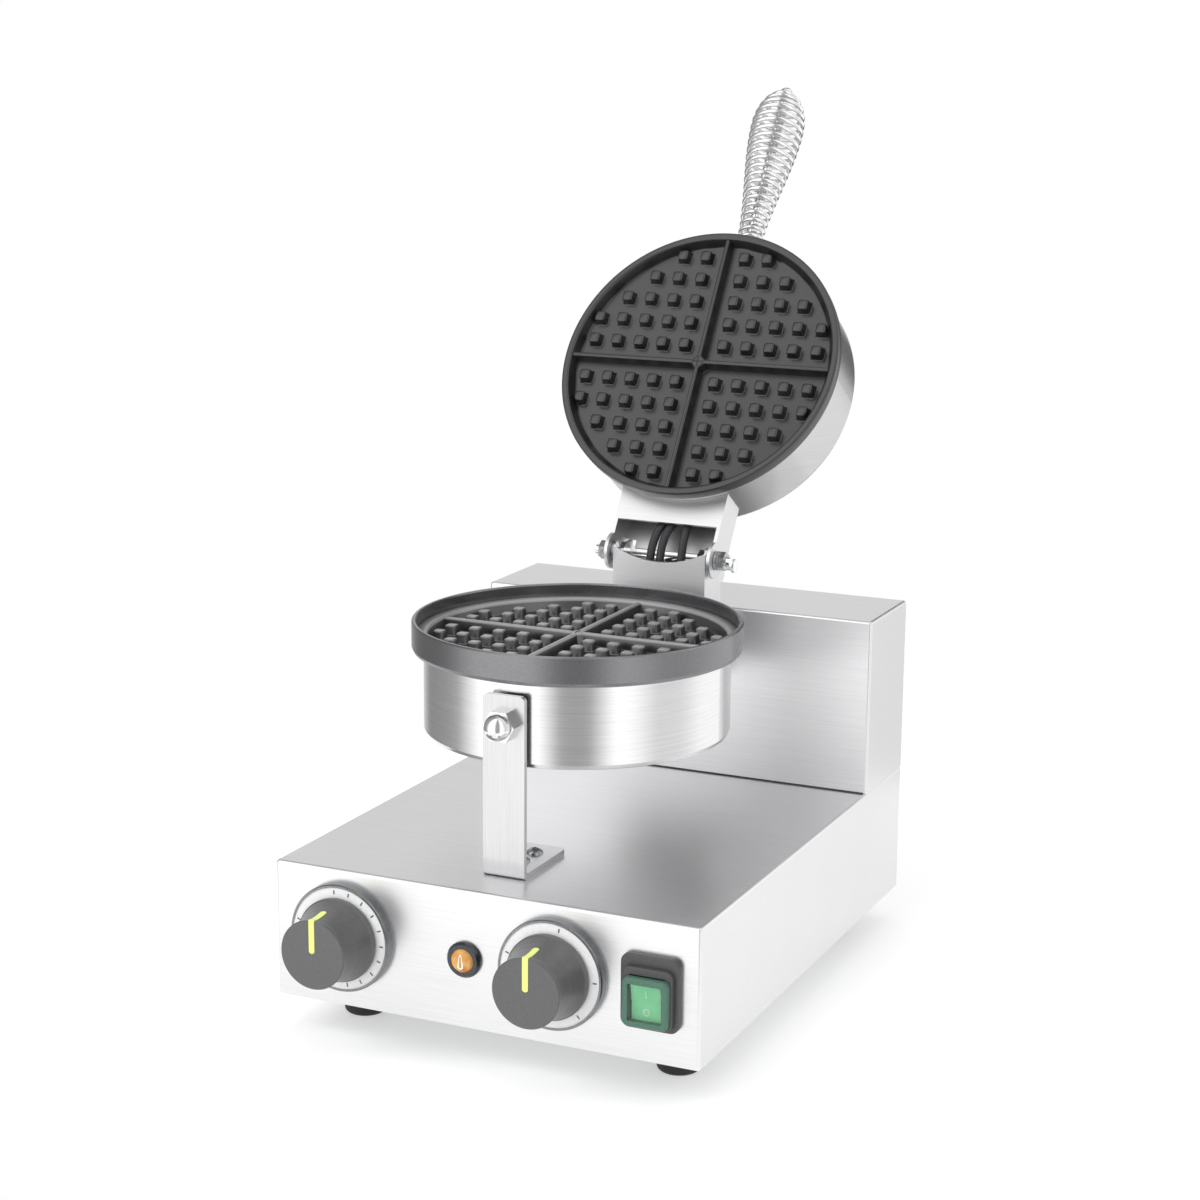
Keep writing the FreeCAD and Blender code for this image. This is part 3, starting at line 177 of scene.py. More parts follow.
def brushed_steel(name, tone, low, high, rough, across, turn=(0, 0, 0)):
    """Sheet stainless with a linished grain: fine lines, a slow cloudiness and a soft wide gloss.

    across is the pattern's scale on each axis, in lines per metre: large across the grain, small along."""
    material, tree, shader, place = new_material(name)
    lined = add(tree, "ShaderNodeMapping", {"Scale": across, "Rotation": turn}, [("Vector", place)])
    grain = add(tree, "ShaderNodeTexNoise", {"Scale": 1.0, "Detail": 3.0, "Roughness": 0.6},
                [("Vector", lined.outputs["Vector"])]).outputs["Fac"]
    cloud = add(tree, "ShaderNodeTexNoise", {"Scale": STEEL_CLOUDS, "Detail": 2.0},
                [("Vector", place)]).outputs["Fac"]
    cloud_share = add(tree, "ShaderNodeMath", {"operation": "MULTIPLY", 1: 1 - GRAIN_SHARE}, [(0, cloud)])
    both = add(tree, "ShaderNodeMath", {"operation": "MULTIPLY_ADD", 1: GRAIN_SHARE},
               [(0, grain), (2, cloud_share.outputs[0])]).outputs[0]
    tree.links.new(ramp(tree, both, [(0.3, low), (0.5, tone), (0.72, high)]), shader.inputs["Base Color"])
    gloss = spread(tree, both, rough - STEEL_PATCHY, rough + STEEL_PATCHY)
    tree.links.new(gloss, shader.inputs["Roughness"])
    bump = add(tree, "ShaderNodeBump", {"Strength": 0.003, "Distance": 0.0004}, [("Height", grain)])
    tree.links.new(bump.outputs["Normal"], shader.inputs["Normal"])
    dress(shader, Metallic=1.0)
    return material


ALONG_X = (GRAIN_STREAKS, GRAIN_LINES, GRAIN_LINES)
ALONG_Z = (GRAIN_LINES, GRAIN_LINES, GRAIN_STREAKS)
ROUND_Z = (GRAIN_STREAKS, GRAIN_STREAKS, GRAIN_LINES)
FLAKES = (SPANGLE, SPANGLE, SPANGLE)

stainless_body = brushed_steel("brushed_stainless_sheet", "#e3e3e4", "#dcdcdd", "#e9e9e9", 0.30, ALONG_X)
stainless_drum = brushed_steel("brushed_stainless_drum", "#e0e0e1", "#d8d8d9", "#e7e7e7", 0.20, ROUND_Z)
# the lid's drum is the same steel as the lower drum: its darker tone is painted shade
stainless_lid_painted_shade = brushed_steel("brushed_stainless_lid_painted_shade", "#bebebf", "#b8b8b9", "#c4c4c4", 0.20, ROUND_Z,
                              (LID_OPEN, 0, 0))
stainless_strip = brushed_steel("brushed_stainless_strip", "#c6c6c7", "#c0c1c1", "#cccccc", 0.24, ALONG_Z)
# one satin stainless in two tones: the hinge bracket's paler tone is a painted highlight, the lid arms'
# darker tone is painted shade
satin_bracket_painted_highlight = brushed_steel("satin_stainless_bracket_painted_highlight", "#efeff0", "#eaeaeb", "#f4f4f4", 0.46, ALONG_X)
satin_arms_painted_shade = brushed_steel("satin_stainless_arms_painted_shade", "#e6e6e7", "#e0e0e1", "#ececec", 0.42, ALONG_X)
plain_sheet = brushed_steel("galvanised_steel_sheet", "#a9acae", "#979a9c", "#bbbdbf", 0.42, FLAKES)


def smooth_metal(name, tone, dark, rough, grit):
    """Turned or plated metal: an even mirror broken by faint marks; grit is the size of a mark in mm."""
    material, tree, shader, place = new_material(name)
    marks = add(tree, "ShaderNodeTexNoise", {"Scale": 1000 / grit, "Detail": 4.0, "Roughness": 0.65},
                [("Vector", place)]).outputs["Fac"]
    tree.links.new(ramp(tree, marks, [(0.3, dark), (0.6, tone)]), shader.inputs["Base Color"])
    tree.links.new(spread(tree, marks, rough * 0.7, rough * 1.4), shader.inputs["Roughness"])
    dress(shader, Metallic=1.0)
    return material


bright_steel = smooth_metal("polished_steel_bar", "#eeeeee", "#dcdcdd", 0.12, 4.0)
zinc = smooth_metal("zinc_plated_fixings", "#c4c6c7", "#a6a8aa", 0.26, 2.0)
dial_ring = smooth_metal("grey_anodised_ring", "#8f9092", "#7c7d7f", 0.36, 1.5)
lamp_ring = smooth_metal("dark_plated_ring", "#55565a", "#47484b", 0.28, 1.5)
sheath = smooth_metal("heater_sheath_steel", "#77706a", "#4f4a46", 0.45, 3.0)


SAND = 1.1               # mm, a grain of the mould
COAT_PATCH = 45          # mm, a patch of the coat that dried alike
COAT_PATCHY = 0.07


def cast_plate(name, dark, tone, rough, top_highlight=None, gloss=0.8, **values):
    """Cast plate with a baked non-stick coat: satin charcoal with a fine sand-cast roughness.

    An optional low and high level in metres and a colour paint the raised faces above them paler: a painted
    highlight where light from above falls.
    gloss is the strength of the coat's shine."""
    material, tree, shader, place = new_material(name)
    grit = add(tree, "ShaderNodeTexNoise", {"Scale": 1000 / SAND, "Detail": 3.0, "Roughness": 0.6},
               [("Vector", place)]).outputs["Fac"]
    cloud = add(tree, "ShaderNodeTexNoise", {"Scale": 1000 / COAT_PATCH, "Detail": 3.0},
                [("Vector", place)]).outputs["Fac"]
    mixed = add(tree, "ShaderNodeMix", {"Factor": 0.35}, [("A", grit), ("B", cloud)]).outputs["Result"]
    coat = ramp(tree, mixed, [(0.3, dark), (0.7, tone)])
    # painted highlight: faces above the low level blend into the paler colour by the high level, as if lit
    # from above
    if top_highlight:
        low, high, highlight_colour = top_highlight
        level = add(tree, "ShaderNodeSeparateXYZ", {}, [(0, place)]).outputs["Z"]
        share = add(tree, "ShaderNodeMapRange", {"From Min": low, "From Max": high},
                    [("Value", level)]).outputs["Result"]
        coat = add(tree, "ShaderNodeMix", {"data_type": "RGBA", 7: linear(highlight_colour)},
                   [(0, share), (6, coat)]).outputs[2]
    tree.links.new(coat, shader.inputs["Base Color"])
    tree.links.new(spread(tree, cloud, rough - COAT_PATCHY, rough + COAT_PATCHY), shader.inputs["Roughness"])
    bump = add(tree, "ShaderNodeBump", {"Strength": 0.12, "Distance": 0.0004}, [("Height", grit)])
    tree.links.new(bump.outputs["Normal"], shader.inputs["Normal"])
    dress(shader, IOR=1.7, Specular_IOR_Level=gloss, **values)
    return material


PEG_TOPS = (FOOT_HEIGHT + MEETING_HEIGHT - 1.2) * MM       # level of the lower plate's peg tops
# the painted highlight on the lower plate's peg tops fades in between these two levels
HIGHLIGHT_START = PEG_TOPS - 0.8 * MM
HIGHLIGHT_FULL = PEG_TOPS - 0.1 * MM
coated_plate = cast_plate("coated_cast_plate", "#19191a", "#252526", 0.30, gloss=0.5)
# the lower plate, with a painted highlight on its peg tops
top_lit_plate = cast_plate("cast_plate_painted_top_highlight", "#161617", "#212122", 0.30,
                          (HIGHLIGHT_START, HIGHLIGHT_FULL, "#8a8a8b"))
coated_rim = cast_plate("coated_cast_rim", "#78787a", "#868688", 0.27, Metallic=0.92)


SKIN_PATCHY = 0.06


def moulded(name, dark, tone, rough, grain, bump_strength, **values):
    """Moulded plastic or rubber: one colour with a fine spark-eroded grain; grain is its size in mm."""
    material, tree, shader, place = new_material(name)
    skin = add(tree, "ShaderNodeTexNoise", {"Scale": 1000 / grain, "Detail": 3.0, "Roughness": 0.6},
               [("Vector", place)]).outputs["Fac"]
    tree.links.new(ramp(tree, skin, [(0.3, dark), (0.7, tone)]), shader.inputs["Base Color"])
    tree.links.new(spread(tree, skin, rough - SKIN_PATCHY, rough + SKIN_PATCHY), shader.inputs["Roughness"])
    bump = add(tree, "ShaderNodeBump", {"Strength": bump_strength, "Distance": 0.0003}, [("Height", skin)])
    tree.links.new(bump.outputs["Normal"], shader.inputs["Normal"])
    dress(shader, **values)
    return material


black_rubber = moulded("black_rubber", "#161616", "#222222", 0.62, 1.2, 0.25, IOR=1.52)
lead_sleeve = moulded("braided_lead_sleeve", "#29292b", "#3b3b3e", 0.5, 0.9, 0.4, IOR=1.5)
knob_black = moulded("black_abs_knob", "#545455", "#5f5f60", 0.33, 1.0, 0.05, IOR=1.53)
pointer_yellow = moulded("yellow_abs_pointer", "#dfe77c", "#e8ef90", 0.4, 1.0, 0.05, IOR=1.53)
dial_white = moulded("white_printed_dial", "#eceded", "#f6f6f6", 0.35, 2.0, 0.03, IOR=1.5)
# painted shade: a dark grey for the bar that stands in for the shadow in the seam at the column's foot
seam_shade_grey = moulded("seam_shade_grey", "#454546", "#525253", 0.5, 1.5, 0.1, IOR=1.45)
tick_grey = moulded("grey_dial_ink", "#5c5f62", "#6d7073", 0.5, 0.8, 0.02, IOR=1.5)
mark_white = moulded("white_marking_ink", "#eef2ee", "#ffffff", 0.45, 0.8, 0.02, IOR=1.5)
frame_black = moulded("black_nylon_frame", "#3e3e3f", "#4a4a4b", 0.42, 1.0, 0.10, IOR=1.53)
inner_plastic = moulded("grey_phenolic_moulding", "#3a3835", "#4a4845", 0.5, 1.5, 0.1, IOR=1.55)
felt = moulded("mineral_felt", "#b9ad94", "#d6cbb2", 0.9, 2.5, 0.8, IOR=1.45)
rocker_green = moulded("green_rocker", "#a0e6ba", "#aeeec6", 0.3, 1.2, 0.03, IOR=1.53)
cover_rim = moulded("green_silicone_rim", "#46685a", "#517463", 0.32, 1.5, 0.03, IOR=1.41)


TINT_CLOUD = 6           # mm, a swirl of the dye


def clear_moulding(name, dark, tone, rough, see_through, ior):
    """Tinted clear plastic: coloured light comes through it, with a glossy moulded skin."""
    material, tree, shader, place = new_material(name)
    tint = add(tree, "ShaderNodeTexNoise", {"Scale": 1000 / TINT_CLOUD, "Detail": 2.0},
               [("Vector", place)]).outputs["Fac"]
    tree.links.new(ramp(tree, tint, [(0.35, dark), (0.65, tone)]), shader.inputs["Base Color"])
    tree.links.new(spread(tree, tint, rough * 0.7, rough * 1.3), shader.inputs["Roughness"])
    dress(shader, Transmission_Weight=see_through, IOR=ior)
    return material


amber = clear_moulding("amber_lamp_lens", "#d88c34", "#f2b866", 0.14, 0.20, 1.49)
green_cover = clear_moulding("green_silicone_window", "#dcf6e5", "#e6faed", 0.06, 0.97, 1.3)

FINISHES = {
    stainless_body: ["base_shell", "column_shell", "column_back_cover"],
    stainless_drum: ["lower_drum"],
    stainless_lid_painted_shade: ["lid_drum"],
    stainless_strip: ["front_post"],
    satin_bracket_painted_highlight: ["hinge_base"],
    satin_arms_painted_shade: ["lid_bracket"],
    plain_sheet: ["bottom_cover"],
    bright_steel: ["post_cap_nut", "hinge_bolts", "stop_bar", "handle_rod", "handle_collar", "sensor_bulb",
                   "timer_shaft", "thermostat_shaft"],
    dial_ring: ["timer_bezel", "thermostat_bezel"],
    lamp_ring: ["lamp_bezel"],
    zinc: ["foot_fixings", "column_fixings", "post_screws", "post_bolt", "hinge_base_fixings", "hinge_nuts",
           "drum_conduit", "lower_stud", "lid_stud", "lid_bracket_screws", "gland_locknut"],
    sheath: ["lower_heater", "lid_heater"],
    felt: ["lower_insulation", "lid_insulation"],
    coated_plate: ["lower_plate", "lid_plate"],
    coated_rim: ["lower_rim"],
    black_rubber: ["rubber_feet", "lid_grommet", "column_grommet", "inside_wiring"],
    knob_black: ["timer_knob", "thermostat_knob"],
    pointer_yellow: ["timer_pointer", "thermostat_pointer"],
    dial_white: ["timer_dial_face", "thermostat_dial_face"],
    frame_black: ["switch_frame", "cable_gland"],
    inner_plastic: ["timer_unit", "thermostat_unit", "lamp_body", "switch_body", "terminal_block"],
    amber: ["lamp_lens"],
    cover_rim: ["switch_cap"],
    rocker_green: ["switch_rocker"],
}
for finish, node_names in FINISHES.items():
    for node_name in node_names:
        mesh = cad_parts[node_name].data
        mesh.materials.clear()
        mesh.materials.append(finish)


# Pieces

def finished(shape, name, material, body, smooth=True):
    """Makes a piece of a bmesh that is already in place, and lets it ride on a body."""
    mesh = bpy.data.meshes.new(name)
    shape.to_mesh(mesh)
    shape.free()
    for face in mesh.polygons:
        face.use_smooth = smooth
    mesh.materials.append(material)
    piece = bpy.data.objects.new(name, mesh)
    bpy.context.scene.collection.objects.link(piece)
    if body:
        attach(piece, body)
    return piece


def join(shape, other):
    """Adds one bmesh to another and frees it."""
    mesh = bpy.data.meshes.new("joined")
    other.to_mesh(mesh)
    other.free()
    shape.from_mesh(mesh)
    bpy.data.meshes.remove(mesh)


def only(kind, geometry):
    """The items of one kind, such as BMVert, in what an operator made."""
    return [item for item in geometry if isinstance(item, kind)]


# Cooking plates

FLOOR_DEPTH = 7.2
FLOOR_RADIUS = 82.0
RING_INNER = 84.6
WEB_DEPTH = 18.0
SPIGOT = 84.2
PEG_FIRST = 12.7         # the first row of pegs, from the plate's middle lines
PEG_PITCH = 15.1
PEG_ROWS = 5
PEG_BASE = 7.4
PEG_TOP = 6.4
PEG_HEIGHT = 6.0
PEG_EASE = 1.25
PEG_FIELD = 81.4         # pegs are cut off at this radius
PEG_LEAST = 1.0          # a peg whose middle is nearer to the cut than this is left out
RIB_BASE = 4.4
RIB_TOP = 2.4
RIB_HEIGHT = FLOOR_DEPTH - 0.4
RIB_LENGTH = 2 * (RING_INNER - 0.3)
RIB_EASE = 0.8
BOSS_TOP = 5.2 * math.sqrt(2)
BOSS_BASE = BOSS_TOP + 2
BOSS_EASE = 0.9
FILLET = 1.1
FOOT_LEVEL = FILLET * 0.6                      # where a block's own walls end and its fillet begins
FILLET_STEPS = ((0.25, 0.4), (0.75, 0.26))     # out and down, in shares of the fillet
ROUND_STEPS = 144
NEAR = 0.02              # mm, how close a point is to count as on an edge ring


def stud(shape, base, top, height, place, ease, cutter=None):
    """A tapered block on the floor of a plate, with rounded edges and a fillet round its foot.

    base and top are its widths along x and y. cutter is a point and a direction; what lies beyond is cut."""
    made = bmesh.ops.create_cube(shape, size=1.0)["verts"]
    for vert in made:
        high = vert.co.z > 0
        width, length = top if high else base
        vert.co = Vector((math.copysign(width / 2, vert.co.x), math.copysign(length / 2, vert.co.y),
                          height if high else FOOT_LEVEL))
    bmesh.ops.transform(shape, matrix=place, verts=made)
    faces = list({f for v in made for f in v.link_faces})
    if cutter:
        geom = made + list({e for v in made for e in v.link_edges}) + faces
        kept = bmesh.ops.bisect_plane(shape, geom=geom, plane_co=cutter[0], plane_no=cutter[1],
                                      clear_outer=True)
        ends = only(bmesh.types.BMEdge, kept["geom_cut"])
        if ends:
            bmesh.ops.holes_fill(shape, edges=ends, sides=0)
            linked = {v for e in ends for v in e.verts}
            made = list(linked | {v for v in made if v.is_valid})
        faces = list({f for v in made for f in v.link_faces})
    low = min(faces, key=lambda f: f.calc_center_median().z)
    foot = list(low.edges)
    centre = low.calc_center_median()
    bmesh.ops.delete(shape, geom=[low], context="FACES_ONLY")
    rest = [e for e in {e for v in made for e in v.link_edges} if e not in foot]
    bmesh.ops.bevel(shape, geom=rest, offset=ease, affect="EDGES", segments=3, profile=0.5, material=-1,
                    clamp_overlap=True)
    edges = [e for e in shape.edges
             if e.is_boundary and all(abs(v.co.z - FOOT_LEVEL) < 1e-4 for v in e.verts)]
    for out, down in FILLET_STEPS:
        grown = bmesh.ops.extrude_edge_only(shape, edges=edges)["geom"]
        edges = [e for e in only(bmesh.types.BMEdge, grown) if e.is_boundary]
        for vert in only(bmesh.types.BMVert, grown):
            away = Vector((vert.co.x - centre.x, vert.co.y - centre.y, 0))
            if away.length > 1e-6:
                vert.co += away.normalized() * out * FILLET
            vert.co.z -= down * FILLET


def plate_casting(shape, outline, soft):
    """The turned body of a plate; soft gives the ring edges to round as radius, height and size."""
    verts = [shape.verts.new((radius, 0, height)) for radius, height in outline]
    edges = [shape.edges.new(pair) for pair in zip(verts, verts[1:])]
    bmesh.ops.spin(shape, geom=verts + edges, cent=(0, 0, 0), axis=(0, 0, 1), dvec=(0, 0, 0),
                   angle=2 * math.pi, steps=ROUND_STEPS, use_merge=True, use_duplicate=False)
    bmesh.ops.remove_doubles(shape, verts=shape.verts, dist=1e-4)
    for radius, height, size in soft:
        ring = [e for e in shape.edges if all(abs(v.co.xy.length - radius) < NEAR
                                              and abs(v.co.z - height) < NEAR for v in e.verts)]
        bmesh.ops.bevel(shape, geom=ring, offset=size, affect="EDGES", segments=4, profile=0.5, material=-1)


def peg_places():
    """The middles of all pegs, in sets of four that mirror each other about the ribs."""
    rows = [PEG_FIRST + n * PEG_PITCH for n in range(PEG_ROWS)]
    places = []
    for x in rows:
        for y in rows:
            if math.hypot(x, y) <= PEG_FIELD - PEG_LEAST:
                places += [(x, y), (-x, y), (x, -y), (-x, -y)]
    return places


def cooking_plate(name, node, body, outline, soft, to_row):
    """A cast plate with its pegs, ribs and centre block, made with its face up and then put in place."""
    shape = bmesh.new()
    for x, y in peg_places():
        out = Vector((x, y, 0)).normalized()
        reach = math.hypot(abs(x) + PEG_BASE / 2, abs(y) + PEG_BASE / 2)
        cutter = (out * PEG_FIELD, out) if reach > PEG_FIELD else None
        single = bmesh.new()
        stud(single, (PEG_BASE, PEG_BASE), (PEG_TOP, PEG_TOP), PEG_HEIGHT, Matrix.Translation((x, y, 0)),
             PEG_EASE, cutter)
        join(shape, single)
    for angle in (0, 90):
        single = bmesh.new()
        stud(single, (RIB_LENGTH, RIB_BASE), (RIB_LENGTH, RIB_TOP), RIB_HEIGHT,
             Matrix.Rotation(math.radians(angle), 4, "Z"), RIB_EASE)
        join(shape, single)
    single = bmesh.new()
    stud(single, (BOSS_BASE, BOSS_BASE), (BOSS_TOP, BOSS_TOP), RIB_HEIGHT,
         Matrix.Rotation(math.radians(45), 4, "Z"), BOSS_EASE)
    join(shape, single)
    bmesh.ops.translate(shape, verts=shape.verts, vec=(0, 0, -FLOOR_DEPTH))
    casting = bmesh.new()
    plate_casting(casting, outline, soft)
    join(shape, casting)
    bmesh.ops.recalc_face_normals(shape, faces=shape.faces)
    for vert in shape.verts:
        vert.co = to_row(vert.co)
    if body == "lid":
        # the lid's plate faces down when closed: that mirrors it, so its faces are turned back
        bmesh.ops.reverse_faces(shape, faces=shape.faces)
    # the lower plate carries the painted highlight on its peg tops
    coat = coated_plate if body == "lid" else top_lit_plate
    piece = finished(shape, name, coat, body)
    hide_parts(node)


LOWER_EDGE = 90.2        # the lower plate fills its rim
LOWER_FLANGE = 9.6
LID_EDGE = 88.8          # the lid's plate shows its own edge
LID_FLANGE = 8.0
SOFT = 1.2
CRISP = 1.0
POCKET = [(0, -FLOOR_DEPTH), (FLOOR_RADIUS, -FLOOR_DEPTH), (RING_INNER, 0)]
POCKET_EDGES = [(FLOOR_RADIUS, -FLOOR_DEPTH, SOFT), (RING_INNER, 0, CRISP)]


def plate_outline(edge, flange):
    """Half the section of a plate: its pocket, its edge and flange, and the spigot behind."""
    return POCKET + [(edge, 0), (edge, -flange), (SPIGOT, -flange), (SPIGOT, -WEB_DEPTH), (0, -WEB_DEPTH)]


cooking_plate("lower_cooking_plate", "lower_plate", "base", plate_outline(LOWER_EDGE, LOWER_FLANGE),
              POCKET_EDGES,
              lambda spot: at(spot.x, PLATE_BACK + spot.y, MEETING_HEIGHT + spot.z))
cooking_plate("lid_cooking_plate", "lid_plate", "lid", plate_outline(LID_EDGE, LID_FLANGE),
              POCKET_EDGES + [(LID_EDGE, 0, SOFT), (LID_EDGE, -LID_FLANGE, CRISP)],
              lambda spot: on_lid(LID_CENTRE + spot.y, LID_FACE - spot.z, spot.x))


# Wound wire handle

TURNS = 21
STEPS_PER_TURN = 24
WIRE = 2.8
WIRE_SIDES = 12
COIL_BEGIN = 2.4 * WIRE
COIL_STRAIGHT = 92.0     # where the swelling stretch ends and the domed end begins
COIL_END = 26.0          # length of the domed end
COIL_THICK = 15.8
COIL_THIN = 6.8
TIP_SHARE = 0.4          # the last turn's radius, as a share of the thickest
COLLAR = 5.0
HANDLE_RISE = 33.0
COIL_FOOT = LID_CENTRE - LID_DRUM - COLLAR     # the collar's outer face on the closed lid, from the pivot
COIL_LEVEL = LID_FACE + HANDLE_RISE
FOOT_BENDS = ((WIRE * 1.3, 52), (WIRE * 1.5, 38))     # the wire's end: how far in, and its turn in degrees
OUTLINE_STEPS = 400


def coil_line():
    """Distance from the collar and radius of the coil at even steps along its own outline."""
    last_angle = math.acos(TIP_SHARE)
    reach = COIL_END / math.sin(last_angle) - WIRE
    outline = []
    for n in range(OUTLINE_STEPS + 1):
        share = n / OUTLINE_STEPS
        ease = share * share * (3 - 2 * share)
        outline.append(Vector((COIL_BEGIN + (COIL_STRAIGHT - COIL_BEGIN) * share,
                               COIL_THIN + (COIL_THICK - COIL_THIN) * ease)))
    for n in range(1, OUTLINE_STEPS + 1):
        angle = last_angle * n / OUTLINE_STEPS
        outline.append(Vector((COIL_STRAIGHT + reach * math.sin(angle), COIL_THICK * math.cos(angle))))
    gone = [0.0]
    for a, b in zip(outline, outline[1:]):
        gone.append(gone[-1] + (b - a).length)
    line = []
    segment = 0
    total = TURNS * STEPS_PER_TURN
    for step in range(total + 1):
        wanted = gone[-1] * step / total
        while segment < len(gone) - 2 and gone[segment + 1] < wanted:
            segment += 1
        part = (wanted - gone[segment]) / (gone[segment + 1] - gone[segment])
        line.append(outline[segment].lerp(outline[segment + 1], part))
    return line


def wound_handle():
    """A ring of the wire's section is spun into a coil and each turn is moved out to its own radius."""
    shape = bmesh.new()
    line = coil_line()
    ring = bmesh.ops.create_circle(shape, segments=WIRE_SIDES, radius=WIRE / 2)["verts"]
    bmesh.ops.rotate(shape, verts=ring, cent=(0, 0, 0), matrix=Matrix.Rotation(math.radians(90), 3, "Z"))
    bmesh.ops.translate(shape, verts=ring, vec=(COIL_THICK, -line[0].x, 0))
    first_edges = list({edge for vert in ring for edge in vert.link_edges})
    bmesh.ops.spin(shape, geom=first_edges, cent=(0, 0, 0), axis=(0, 1, 0), dvec=(0, 0, 0),
                   angle=-2 * math.pi * TURNS, steps=TURNS * STEPS_PER_TURN, use_merge=False,
                   use_duplicate=False)
    shape.verts.ensure_lookup_table()
    for vert in shape.verts:
        step = vert.index // WIRE_SIDES
        away = Vector((vert.co.x, 0, vert.co.z))
        outward = away.normalized()
        vert.co += outward * (line[step].y - COIL_THICK)
        vert.co.y += line[0].x - line[step].x
    foot = shape.verts[:WIRE_SIDES]
    foot_edges = [e for e in shape.edges if e.is_boundary and all(v in foot for v in e.verts)]
    for drop, tilt in FOOT_BENDS:
        grown = bmesh.ops.extrude_edge_only(shape, edges=foot_edges)["geom"]
        new_verts = only(bmesh.types.BMVert, grown)
        foot_edges = [e for e in only(bmesh.types.BMEdge, grown)
                      if e.is_boundary and all(v in new_verts for v in e.verts)]
        centre = sum((v.co for v in new_verts), Vector()) / len(new_verts)
        bmesh.ops.rotate(shape, verts=new_verts, cent=centre,
                         matrix=Matrix.Rotation(math.radians(tilt), 3, "X"))
        bmesh.ops.translate(shape, verts=new_verts, vec=(0, drop, -WIRE))
    bmesh.ops.holes_fill(shape, edges=[e for e in shape.edges if e.is_boundary], sides=0)
    bmesh.ops.recalc_face_normals(shape, faces=shape.faces)
    for vert in shape.verts:
        vert.co = on_lid(vert.co.y + COIL_FOOT, vert.co.z + COIL_LEVEL, vert.co.x)
    piece = finished(shape, "handle_wire", bright_steel, "lid")
    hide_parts("handle_coil")


wound_handle()


# Leads across the hinge

LEAD_SIDES = (-9.7, -3.3, 10.9)      # each lead's place across the hinge, at the column
LEAD_EXITS = (-1.6, 4.0, 11.5)       # and at the lid
LEAD_RADIUS = 2.5
LID_REAR = LID_CENTRE + LID_DRUM
LEAD_HEIGHT = 3.0
LEAD_HIDDEN = 8.0        # each lead begins this far inside the lid's drum
LEAD_OUT = 5.0           # and goes straight out of it for this much
LEAD_RUN = 1.0
LEAD_BEND = 8.0
LEAD_DROP = -42.0
LEAD_ENTRY = 9.0         # and ends this far inside the column
LEAD_FAR = COLUMN_FRONT - PIVOT_BACK + LEAD_ENTRY


def lead_route(side, exit_side):
    """The points that one lead follows, from inside the lid to inside the column."""
    return [on_lid(LID_REAR - LEAD_HIDDEN, LEAD_HEIGHT, exit_side),
            on_lid(LID_REAR + LEAD_OUT, LEAD_HEIGHT, exit_side),
            PIVOT + Vector((side, LEAD_RUN, LEAD_BEND)) * MM,
            PIVOT + Vector((side, LEAD_RUN, LEAD_DROP)) * MM,
            PIVOT + Vector((side, LEAD_FAR, LEAD_DROP)) * MM]


def hinge_leads():
    """Three sleeved leads in one mesh, which runs in a curve from the column to the lid."""
    curve = bpy.data.curves.new("leads_line", "CURVE")
    curve.dimensions = "3D"
    curve.resolution_u = 16
    curve.bevel_depth = LEAD_RADIUS * MM
    curve.bevel_resolution = 4
    curve.use_fill_caps = True
    for side, exit_side in zip(LEAD_SIDES, LEAD_EXITS):
        route = lead_route(side, exit_side)
        spline = curve.splines.new("NURBS")
        spline.points.add(len(route) - 1)
        for point, spot in zip(spline.points, route):
            point.co = (*spot, 1)
        spline.order_u = 3
        spline.use_endpoint_u = True
    holder = bpy.data.objects.new("leads_line", curve)
    bpy.context.scene.collection.objects.link(holder)
    bpy.context.view_layer.update()
    mesh = bpy.data.meshes.new_from_object(holder)
    bpy.data.objects.remove(holder)
    shape = bmesh.new()
    shape.from_mesh(mesh)
    bpy.data.meshes.remove(mesh)
    piece = finished(shape, "hinge_lead_set", lead_sleeve, None)
    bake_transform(piece)
    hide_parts("hinge_leads")


hinge_leads()


# Dial marks, lamp symbol and switch marks

DIAL_FACE = 5.2
INK = 0.12
TIMER_SIDE = -84.0
TIMER_MARKS = 16
TIMER_FIRST = -6
TIMER_STEP = 19.5
THERMOSTAT_SIDE = 43.0
THERMOSTAT_ANGLES = (12, 90, 140, 215, 290)
MARK_INNER = 25.1
MARK_OUTER = 27.4
MARK_WIDTH = 0.8


def bar(shape, width, height, depth, place):
    """A thin bar with eased corners, added to a bmesh; place is a matrix in the row frame."""
    made = bmesh.ops.create_cube(shape, size=1.0)["verts"]
    bmesh.ops.scale(shape, verts=made, vec=(width, depth, height))
    edges = list({e for v in made for e in v.link_edges})
    grown = bmesh.ops.bevel(shape, geom=edges, offset=min(width, height, depth) * 0.2, affect="EDGES",
                            segments=1, profile=0.5, material=-1)
    verts = list({v for v in made if v.is_valid} | set(grown["verts"]))
    bmesh.ops.transform(shape, matrix=place, verts=verts)


def dial_marks(name, side, angles):
    """Short printed marks round a dial, at clock angles in degrees."""
    shape = bmesh.new()
    centre = at(side, -DIAL_FACE - INK / 2, CONTROL_HEIGHT)
    for angle in angles:
        turn = Matrix.Rotation(math.radians(angle), 4, "Y")
        out = Matrix.Translation((0, 0, (MARK_INNER + MARK_OUTER) / 2 * MM))
        bar(shape, MARK_WIDTH * MM, (MARK_OUTER - MARK_INNER) * MM, INK * MM,
            Matrix.Translation(centre) @ turn @ out)
    finished(shape, name, tick_grey, "base", smooth=False)


dial_marks("timer_dial_marks", TIMER_SIDE, [n * TIMER_STEP + TIMER_FIRST for n in range(TIMER_MARKS)])
dial_marks("thermostat_dial_marks", THERMOSTAT_SIDE, THERMOSTAT_ANGLES)


